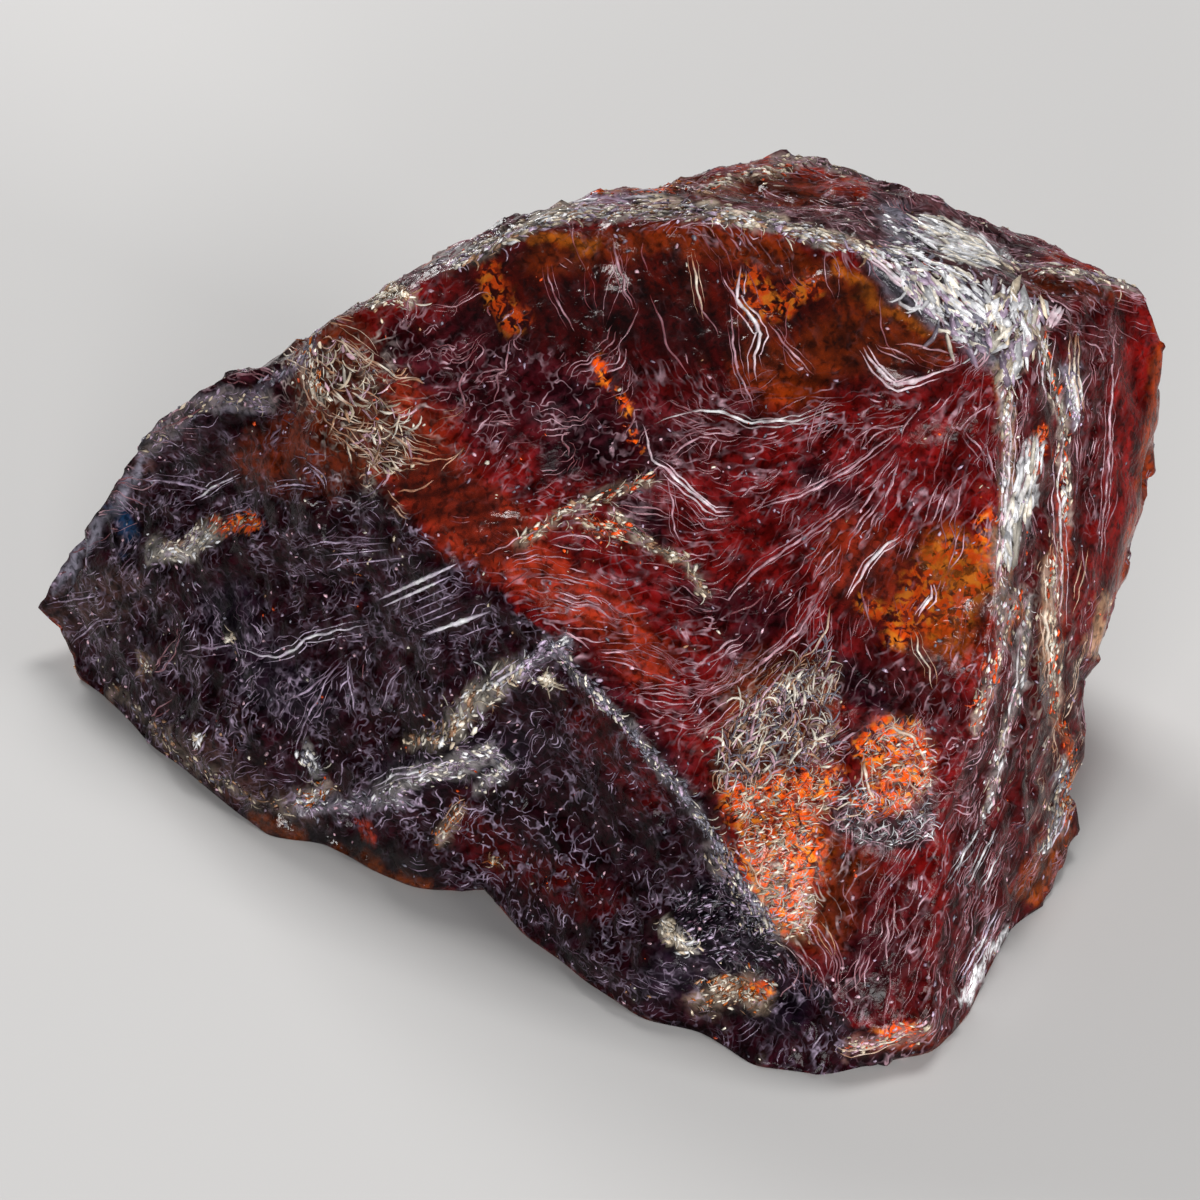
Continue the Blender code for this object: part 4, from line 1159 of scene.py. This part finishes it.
def stone_material():
    """Deep red and purple, glassy, seen into in places, with a faint veil of hair-fine fracture lines whose
    pale colour is a painted highlight, and with a painted orange glow of inner reflections.
    """
    nodes = Nodes("sphalerite_stone")
    place = nodes.add("ShaderNodeTexCoord").outputs["Object"]
    colour = nodes.mix(1.0, nodes.attribute("ground"), nodes.cloud(place, *MOTTLE), "MULTIPLY")
    colour = nodes.mix(1.0, colour, nodes.cloud(place, *PITS), "MULTIPLY")
    # The fine lines' pale colour, broken up into painted glints
    line = nodes.mix(1.0, nodes.attribute("line"), nodes.cloud(place, *LINE_GLINTS), "MULTIPLY")
    colour = nodes.mix(fine_lines(nodes, place), colour, line)
    # Painted glow: orange to gold base colour where inner reflections shine out of the stone
    glow = nodes.mix(nodes.cloud(place, *PAINTED_GLOW_GOLD), (*ORANGE, 1), (*GOLD, 1))
    painted_glow = nodes.math("MULTIPLY", nodes.attribute("painted_glow", "Fac"), nodes.cloud(place, *PAINTED_GLOW_BREAKS))
    nodes.fill(nodes.shader, {
        "Base Color": nodes.mix(painted_glow, colour, glow),
        "Roughness": nodes.cloud(place, *STONE_ROUGHNESS),
        "Normal": nodes.bump(nodes.noise(place, *STONE_RELIEF), *STONE_BUMP),
        "IOR": IOR,
        "Specular IOR Level": STONE_SPECULAR,
        "Transmission Weight": nodes.math("MULTIPLY", nodes.attribute("clear", "Fac"), CLEAR_TRANSMISSION),
    })
    absorption = nodes.add("ShaderNodeVolumeAbsorption", {
        "Color": ABSORPTION_COLOUR,
        "Density": ABSORPTION_DENSITY,
    })
    nodes.tree.links.new(absorption.outputs["Volume"], nodes.output.inputs["Volume"])
    return nodes.material


def wisp_material():
    """The pale, shiny lips of fine fractures, whose tints hold painted highlights, and the grains of the
    crusts.
    """
    nodes = Nodes("fracture_lips")
    place = nodes.add("ShaderNodeTexCoord").outputs["Object"]
    nodes.fill(nodes.shader, {
        "Base Color": nodes.mix(1.0, nodes.attribute("tint"), nodes.cloud(place, *LIP_SHADES), "MULTIPLY"),
        "Roughness": nodes.cloud(place, *LIP_ROUGHNESS),
        "Normal": nodes.bump(nodes.noise(place, *LIP_RELIEF), *LIP_BUMP),
        "IOR": IOR,
    })
    return nodes.material


class Skin:
    """The stone's surface, which gives its nearest place, its way out and its colour."""

    def __init__(self, mesh, surface, colours, streak):
        self.mesh = mesh
        self.normals = surface.normals
        self.colours = colours
        self.streak = streak
        self.polygons = [tuple(polygon.vertices) for polygon in mesh.polygons]
        self.tree = BVHTree.FromPolygons([Vector(place) for place in surface.places], self.polygons)

    def nearest(self, point):
        """The nearest place on the surface, and its normal."""
        found, _, face, _ = self.tree.find_nearest(point)
        return found, Vector(self.normals[self.polygons[face][0]])

    def at_pixel(self, pixel):
        """The place that a pixel shows, or None."""
        eye = eye_place()
        return self.tree.ray_cast(eye, (picture_plane_point(pixel) - eye).normalized())[0]

    def vertex(self, point):
        """The number of a vertex beside the place."""
        return self.polygons[self.tree.find_nearest(point)[2]][0]


class Slivers:
    """Small closed pieces that are gathered into one mesh."""

    def __init__(self):
        self.verts, self.faces, self.tints, self.samples = [], [], [], []

    def add(self, verts, faces, tints):
        """One more closed piece."""
        first = len(self.verts)
        self.verts += [Vector((*vert.xy, max(vert.z, 0.0))) * MM for vert in verts]
        self.faces += [tuple(first + corner for corner in face) for face in faces]
        self.tints += tints

    def build(self, name, material):
        """The mesh, as a piece of the stone."""
        mesh = bpy.data.meshes.new(name)
        mesh.from_pydata(self.verts, [], self.faces)
        set_colour(mesh, "tint", np.array(self.tints))
        return add_object(name, mesh, material)


def add_object(name, mesh, material):
    """Adds a piece of the stone, which stands for the CAD node together with the others."""
    piece = bpy.data.objects.new(name, mesh)
    bpy.context.scene.collection.objects.link(piece)
    mesh.materials.append(material)
    mesh.shade_smooth()
    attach(piece, "root")
    return piece


class Lookup:
    """The guides' angles on a coarse grid of pixels, so that one is found fast."""

    def __init__(self):
        row = np.arange(0, FRAME_PIXELS + 1, LOOKUP_STEP, dtype=float)
        across, down = np.meshgrid(row, row, indexing="ij")
        pixels = np.stack([across.ravel(), down.ravel()], axis=1)
        self.angles = guide_angles(pixels).reshape(across.shape)

    def __call__(self, pixel):
        last = len(self.angles) - 1
        column, row = (min(max(round(part / LOOKUP_STEP), 0), last) for part in pixel)
        return self.angles[column, row]


GUIDE_LOOKUP = Lookup()


def pixel_of(point):
    """The pixel that shows a point."""
    return picture_places(np.array([point]))[0]


def front_heading(point, normal, turn):
    """The way that a wisp runs along the surface where the camera sees it."""
    angle = GUIDE_LOOKUP(pixel_of(point)) + turn
    heading = RIGHT * math.cos(angle) + UP * math.sin(angle)
    facing = max(normal.dot(TOWARDS), STEEPEST)
    heading -= TOWARDS * (heading.dot(normal) / facing)
    return heading.normalized()


def hidden_heading(point, normal, turn):
    """The way that a wisp runs along the surface where the camera doesn't see it."""
    place = point / HIDDEN_FLOW_SIZE
    grain = Vector((noise.noise(place), noise.noise(place + Vector((9, 3, 5))), HIDDEN_FLOW_LIFT))
    heading = (grain - normal * grain.dot(normal)).normalized()
    side = normal.cross(heading)
    return (heading * math.cos(turn) + side * math.sin(turn)).normalized()


def walk(skin, start, length, scatter, curl):
    """Points, normals and headings of a winding path along the surface."""
    path = []
    point = start
    last = None
    for _ in range(max(LEAST_RINGS, round(length / WISP_STEP))):
        point, normal = skin.nearest(point)
        turn = scatter + curl * noise.noise(point / CURL_SIZE + Vector((7, 7, 7)))
        turn += WIGGLE * curl / CURL * noise.noise(point / WIGGLE_SIZE)
        heading_at = front_heading if normal.dot(TOWARDS) > SEEN_FROM else hidden_heading
        heading = heading_at(point, normal, turn)
        if last is not None and heading.dot(last) < 0:
            heading = -heading
        path.append((point, normal, heading))
        last = heading
        point = point + heading * WISP_STEP
    return path


def beside(skin, path, offset, bow):
    """A path's neighbour, which lies beside it or bows away from it."""
    moved = []
    for number, (point, normal, heading) in enumerate(path):
        side = normal.cross(heading)
        shift = offset + bow * math.sin(math.pi * number / (len(path) - 1))
        found, way_out = skin.nearest(point + side * shift)
        moved.append((found, way_out, heading))
    return moved


def strand_tint(skin, point, share, tones, brightness):
    """A strand's colour at a point, where the share is 0 at its ends and 1 at its middle. The glint brightens
    the dim colour towards a painted highlight.
    """
    dim, bright = np.array(tones)
    glint = brightness * share * (GLINT_MIDDLE + GLINT_CHANGE * noise.noise(point / GLINT_SIZE))
    lip = dim + (bright - dim) * min(max(glint, 0.0), 1.0)
    cover = min(1.0, END_FADE * share) * STRAND_COVER
    return skin.colours[skin.vertex(point)] * (1 - cover) + lip * cover


def strand_faces(rings):
    """The faces of a three-sided sliver: a first point, rings of three, and a last point."""
    faces = []
    for corner in range(3):
        beyond = (corner + 1) % 3
        faces.append((0, 1 + beyond, 1 + corner))
        for ring in range(rings - 1):
            low = 1 + 3 * ring
            faces.append((low + corner, low + beyond, low + 3 + beyond, low + 3 + corner))
        low = 1 + 3 * (rings - 1)
        faces.append((low + corner, low + beyond, low + 3))
    return faces


def add_strand(slivers, skin, path, width, tones, brightness):
    """One thin three-sided sliver along a path, sunk into the stone, with ends that fade into its colour."""
    verts, tints = [], []
    last = len(path) - 1
    for number, (point, normal, heading) in enumerate(path):
        share = math.sin(math.pi * number / last)
        tint = strand_tint(skin, point, share, tones, brightness)
        if number in (0, last):
            verts.append(point - normal * WISP_SINK)
            tints.append(list(tint))
            continue
        change = WIDTH_CHANGE * noise.noise(point / WIDTH_SIZE + Vector((3, 3, 3)))
        ring_width = width * share**STRAND_TAPER * (1 + change)
        side = normal.cross(heading).normalized() * (ring_width / 2)
        verts += [
            point - side - normal * WISP_SINK,
            point + normal * min(ring_width * WISP_HEIGHT_SHARE, MOST_WISP_HEIGHT),
            point + side - normal * WISP_SINK,
        ]
        tints += [list(tint * FOOT_SHADE), list(tint), list(tint * FOOT_SHADE)]
        slivers.samples.append((point, tint))
    slivers.add(verts, strand_faces(last - 1), tints)


def add_wisp(slivers, skin, start, look, rng):
    """One wisp: a single lip, a loop or a bundle."""
    tones, curl, stretch = look
    length = rng.uniform(*WISP_LENGTHS) * rng.uniform(*LENGTH_SPREAD) * stretch
    width = rng.uniform(*WISP_WIDTHS)
    path = walk(skin, start, length, rng.gauss(0, WISP_SCATTER), curl)
    brightness = rng.uniform(*GLINTS) ** GLINT_POWER * GLINT_STRENGTH
    kind = rng.choices(list(WISP_KINDS), list(WISP_KINDS.values()))[0]
    if kind == "single":
        add_strand(slivers, skin, path, width, tones, brightness)
    elif kind == "loop":
        bow = rng.uniform(*LOOP_BOW)
        for way in (-bow, bow):
            strand = beside(skin, path, 0, way)
            add_strand(slivers, skin, strand, width * LOOP_WIDTH, tones, brightness)
    else:
        count = rng.randint(*BUNDLE_STRANDS)
        spacing = rng.uniform(*BUNDLE_SPACING)
        for number in range(count):
            offset = (number - (count - 1) / 2) * spacing
            strand = beside(skin, path, offset, rng.uniform(-BUNDLE_BOW, BUNDLE_BOW))
            cut = rng.randint(0, max(0, len(strand) - BUNDLE_UNCUT))
            strand = strand[cut // 2:len(strand) - cut // 2]
            add_strand(slivers, skin, strand, width * rng.uniform(*BUNDLE_WIDTHS), tones, brightness)


def wisp_chance(pixel):
    """The share of wisps that stays at one pixel."""
    return staying_share(np.array([pixel]))[0]


def wisp_look(point, seen):
    """A wisp's colours, how tightly it curls, and its share of the full length."""
    if not seen:
        if noise.noise(point / HIDDEN_REGION_SIZE) > DUSKY_LEVEL:
            return PINK, CURL, 1.0
        return DUSKY, CURL * 2, SHORT_WISPS
    pixel = np.array([pixel_of(point)])
    if inside(pixel, DARK_FACE)[0]:
        tones, curl, stretch = DUSKY, CURL * 2, SHORT_WISPS
    else:
        tones, curl, stretch = PINK, CURL, 1.0
    if covered(pixel, BUFF_PATCHES)[0] > 0.5:
        tones = BUFF
    tight = covered(pixel, CURLY_PATCHES)[0]
    return tones, curl + (TIGHT_CURL - curl) * tight, stretch


def surface_starts(skin, count, rng):
    """Places spread evenly over the stone, but for its underside: each with whether the camera sees it."""
    skin.mesh.calc_loop_triangles()
    triangles = [triangle for triangle in skin.mesh.loop_triangles if triangle.normal.z > UNDERSIDE]
    areas = [triangle.area for triangle in triangles]
    for triangle in rng.choices(triangles, areas, k=count):
        a, b, c = (skin.mesh.vertices[i].co / MM for i in triangle.vertices)
        u, v = rng.random(), rng.random()
        if u + v > 1:
            u, v = 1 - u, 1 - v
        yield a + (b - a) * u + (c - a) * v, triangle.normal.dot(TOWARDS) > SEEN_FROM


def add_wisps(skin, front, back, rng):
    """Wisps all over the stone."""
    for start, seen in surface_starts(skin, WISPS, rng):
        clustering = WISP_CLUSTERING * skin.streak[skin.vertex(start)] ** 2
        if rng.random() > clustering:
            continue
        if seen and rng.random() > wisp_chance(pixel_of(start)):
            continue
        add_wisp(front if seen else back, skin, start, wisp_look(start, seen), rng)


def crack_path(skin, points, sideways, most_bend):
    """A path along the surface through pixels, with small bends of its own."""
    path = []
    for start, end in zip(points, points[1:]):
        start, end = np.array(start, float), np.array(end, float)
        steps = max(1, round(np.linalg.norm(end - start) * MM_PER_PIXEL / WISP_STEP))
        across = np.array([-(end - start)[1], (end - start)[0]]) / np.linalg.norm(end - start)
        for step in range(steps):
            pixel = start + (end - start) * step / steps
            bend = most_bend * noise.noise(Vector((*(pixel / CRACK_BEND_SIZE), sideways)))
            found = skin.at_pixel(pixel + across * (sideways + bend))
            if found is not None:
                path.append(found)
    headed = []
    for here, ahead in zip(path, path[1:]):
        found, normal = skin.nearest(here)
        headed.append((found, normal, (ahead - here).normalized()))
    return headed


def add_cracks(skin, slivers, rng):
    """The cracks that stand out, each with a few thinner ones beside it."""
    for half_width, tones, points in CRACKS:
        width = 2 * half_width * MM_PER_PIXEL
        path = crack_path(skin, points, 0.0, CRACK_BEND)
        if len(path) >= LEAST_RINGS:
            add_strand(slivers, skin, path, width, tones, CRACK_GLINT)
        for number in range(SIDE_STRANDS):
            sideways = rng.uniform(*SIDE_STRAND_GAPS) * (-1) ** number
            path = crack_path(skin, points, sideways, CRACK_BEND)
            cut = rng.randint(0, max(0, len(path) // 3))
            path = path[cut:] if rng.random() < 0.5 else path[:len(path) - cut]
            if len(path) >= LEAST_RINGS:
                side_width = width * rng.uniform(*SIDE_STRAND_WIDTHS)
                add_strand(slivers, skin, path, side_width, tones, SIDE_STRAND_GLINT)


def add_striations(skin, slivers):
    """The straight striations of the dark face."""
    for half_width, tones, start, end in STRIATIONS:
        path = crack_path(skin, [start, end], 0.0, 0.0)
        add_strand(slivers, skin, path, 2 * half_width * MM_PER_PIXEL, tones, STRIATION_GLINT)


def add_flake(slivers, skin, point, size, colour, heading, rng, slim=1.0):
    """One small angular flake: a squat, skewed six-sided spindle that lies along a heading."""
    found, normal = skin.nearest(point)
    side = normal.cross(heading).normalized()
    along = side.cross(normal)
    long = size / 2 * rng.uniform(*FLAKE_LENGTHS)
    wide = size / 2 * rng.uniform(*FLAKE_WIDTHS) * slim
    high = min(size * rng.uniform(*FLAKE_HEIGHTS), MOST_FLAKE_HEIGHT)
    peak = found + normal * high + along * rng.uniform(-FLAKE_SKEW, FLAKE_SKEW) * long
    verts = [found - normal * WISP_SINK * 2, peak]
    for number in range(FLAKE_SIDES):
        turn = 2 * math.pi * (number + rng.uniform(-FLAKE_SKEW, FLAKE_SKEW)) / FLAKE_SIDES
        edge = along * (math.cos(turn) * long) + side * (math.sin(turn) * wide)
        verts.append(found + edge * rng.uniform(*FLAKE_CHIPS) + normal * high * rng.uniform(*FLAKE_TILTS))
    faces = []
    for number in range(FLAKE_SIDES):
        here, ahead = 2 + number, 2 + (number + 1) % FLAKE_SIDES
        faces += [(0, ahead, here), (1, here, ahead)]
    light = rng.uniform(*FLAKE_LIGHT)
    tint = [part * light for part in colour]
    slivers.add(verts, faces, [tint] * len(verts))
    slivers.samples.append((found, np.array(tint)))


def point_on_line(points, rng):
    """A pixel anywhere along a line of pixels, and the line's direction there."""
    if len(points) == 1:
        turn = rng.uniform(0, math.pi)
        return np.array(points[0], float), np.array([math.cos(turn), math.sin(turn)])
    runs = [np.subtract(end, start) for start, end in zip(points, points[1:])]
    number = rng.choices(range(len(runs)), [np.linalg.norm(run) for run in runs])[0]
    return points[number] + runs[number] * rng.random(), runs[number] / np.linalg.norm(runs[number])


def add_crumb(skin, flakes, fibres, pixel, turn, look, rng):
    """One flake or short fibre of a crust. Small ones are many."""
    (smallest, largest), flake_share, slim, colours = look
    found = skin.at_pixel(pixel)
    if found is None:
        return
    size = (smallest + (largest - smallest) * rng.random() ** CRUMB_SIZE_POWER) * MM_PER_PIXEL
    colour = rng.choice(colours)
    heading = RIGHT * math.cos(turn) + UP * math.sin(turn)
    if rng.random() < flake_share:
        add_flake(flakes, skin, found, size, colour, heading, rng, slim)
        return
    path = straight_path(skin, found, heading, size * FIBRE_STRETCH, rng)
    tones = ([part * FIBRE_DIM for part in colour], colour)
    add_strand(fibres, skin, path, size * rng.uniform(*FIBRE_WIDTHS), tones, rng.uniform(*FIBRE_GLINTS))


def add_crusts(skin, flakes, fibres, rng):
    """Bands and patches of flakes and short fibres."""
    for count, sizes, half_width, colours, points in CRUSTS:
        look = (sizes, FLAKE_SHARE, CRUST_SLIMNESS, colours)
        for _ in range(count):
            pixel, run = point_on_line(points, rng)
            pixel = pixel + np.array([rng.gauss(0, half_width * CRUST_SPREAD) for _ in range(2)])
            turn = math.atan2(-run[1], run[0]) + rng.gauss(0, CRUST_TURN)
            add_crumb(skin, flakes, fibres, pixel, turn, look, rng)
    for count, sizes, flake_share, degrees, _, colours, outline in AREAS:
        look = (sizes, flake_share, AREA_SLIMNESS, colours)
        low, high = np.min(outline, axis=0), np.max(outline, axis=0)
        tries = range(AREA_TRIES * count)
        pixels = np.array([[rng.uniform(low[i], high[i]) for i in range(2)] for _ in tries])
        for pixel in pixels[inside(pixels, outline)][:count]:
            turn = math.radians(degrees) + rng.gauss(0, AREA_TURN)
            add_crumb(skin, flakes, fibres, pixel, turn, look, rng)


def straight_path(skin, start, heading, length, rng):
    """A short path along the surface that bends one way."""
    path = []
    point = start
    bend = rng.gauss(0, FIBRE_BEND)
    for _ in range(FIBRE_RINGS):
        point, normal = skin.nearest(point)
        heading = (heading - normal * heading.dot(normal)).normalized()
        heading = (heading + normal.cross(heading) * bend).normalized()
        path.append((point, normal, heading))
        point = point + heading * (length / FIBRE_RINGS)
    return path


def add_scattered_grains(skin, slivers, rng):
    """Single grains all over the stone, the pale loose ones partly painted glints, and clusters on the sides
    that the photograph doesn't show.
    """
    for start, seen in surface_starts(skin, SCATTERED_GRAINS, rng):
        clustered = noise.noise(start / CLUSTER_SIZE + Vector((40, 2, 5))) > CLUSTER_LEVEL
        if seen and rng.random() > SEEN_GRAINS * wisp_chance(pixel_of(start)):
            continue
        if not seen and not clustered and rng.random() < 1 - LOOSE_GRAINS:
            continue
        colour = rng.choice(CLUSTERED_TINTS if clustered else LOOSE_TINTS)
        heading = Vector([rng.gauss(0, 1) for _ in range(3)])
        add_flake(slivers, skin, start, rng.uniform(*GRAIN_SIZES), colour, heading, rng)


def add_halos(places, colours, samples):
    """The stone's colours with a milky halo along wisps and grains."""
    tree = KDTree(len(samples))
    for number, (point, _) in enumerate(samples):
        tree.insert(point, number)
    tree.balance()
    haloed = colours.copy()
    for number, place in enumerate(places):
        _, found, distance = tree.find(place)
        share = HALO_STRENGTH * math.exp(-((distance / HALO_REACH) ** 2))
        haloed[number] = colours[number] * (1 - share) + samples[found][1] * HALO_SHADE * share
    return haloed


def add_floor():
    """A plain pale floor."""
    bpy.ops.mesh.primitive_plane_add(size=FLOOR_SIZE, location=(0, 0, -FLOOR_DROP))
    floor = bpy.context.object
    floor.name = "floor"
    nodes = Nodes("floor")
    nodes.fill(nodes.shader, {"Base Color": FLOOR_COLOUR, "Roughness": FLOOR_ROUGHNESS})
    floor.data.materials.append(nodes.material)


def add_light(name, place, size, power):
    """A soft square light, aimed at the stone."""
    light = bpy.data.objects.new(name, bpy.data.lights.new(name, "AREA"))
    light.data.size = size * MM
    light.data.energy = power
    light.location = Vector(place) * MM
    aim = LIT_PLACE - Vector(place)
    light.rotation_euler = aim.to_track_quat("-Z", "Y").to_euler()
    bpy.context.scene.collection.objects.link(light)


def add_lights():
    """Plain soft studio light. No light stands where the large front face mirrors it to the camera."""
    for name, light in LIGHTS.items():
        add_light(name, *light)
    world = bpy.data.worlds.new("studio")
    world.use_nodes = True
    background = world.node_tree.nodes["Background"]
    background.inputs["Color"].default_value = WORLD_COLOUR
    background.inputs["Strength"].default_value = WORLD_STRENGTH
    bpy.context.scene.world = world
    bpy.context.scene.view_settings.view_transform = "Standard"


def paint(mesh, surface, colours, streak):
    """Stores what the stone's material reads at each vertex."""
    set_colour(mesh, "ground", colours)
    set_value(mesh, "clear", clearness(surface))
    # The share of the painted orange glow
    set_value(mesh, "painted_glow", painted_glow_share(surface))
    set_colour(mesh, "flow", flow_shares(surface.pixels))
    set_colour(mesh, "line", line_colours(surface))
    strong, curly = line_shares(surface, streak)
    set_value(mesh, "strong", strong)
    set_value(mesh, "curly", curly)


def add_stone(node, rng):
    """The stone in place of its CAD node, with its wisps, seams and grains."""
    mesh = fine_mesh(node)
    roughen(mesh, rng)
    surface = Surface(mesh)
    streak = streaks(surface)
    colours = streaked(surface, ground_colours(surface), streak)
    skin = Skin(mesh, surface, colours, streak)
    front, back, seams, grains = Slivers(), Slivers(), Slivers(), Slivers()
    add_wisps(skin, front, back, rng)
    add_cracks(skin, seams, rng)
    add_striations(skin, seams)
    add_crusts(skin, grains, seams, rng)
    add_scattered_grains(skin, grains, rng)
    samples = front.samples + back.samples + seams.samples + grains.samples
    paint(mesh, surface, add_halos(surface.places, colours, samples), streak)
    stone = add_object("crystal", mesh, stone_material())
    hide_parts("sphalerite_crystal")
    material = wisp_material()
    front.build("front_wisps", material)
    back.build("back_wisps", material)
    seams.build("seams", material)
    grains.build("grains", material)


def main():
    """Builds the stone and its scene."""
    rng = random.Random(SEED)
    noise.seed_set(SEED)
    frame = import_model()
    add_camera()
    add_stone(frame["nodes"]["sphalerite_crystal"], rng)
    add_floor()
    add_lights()


main()
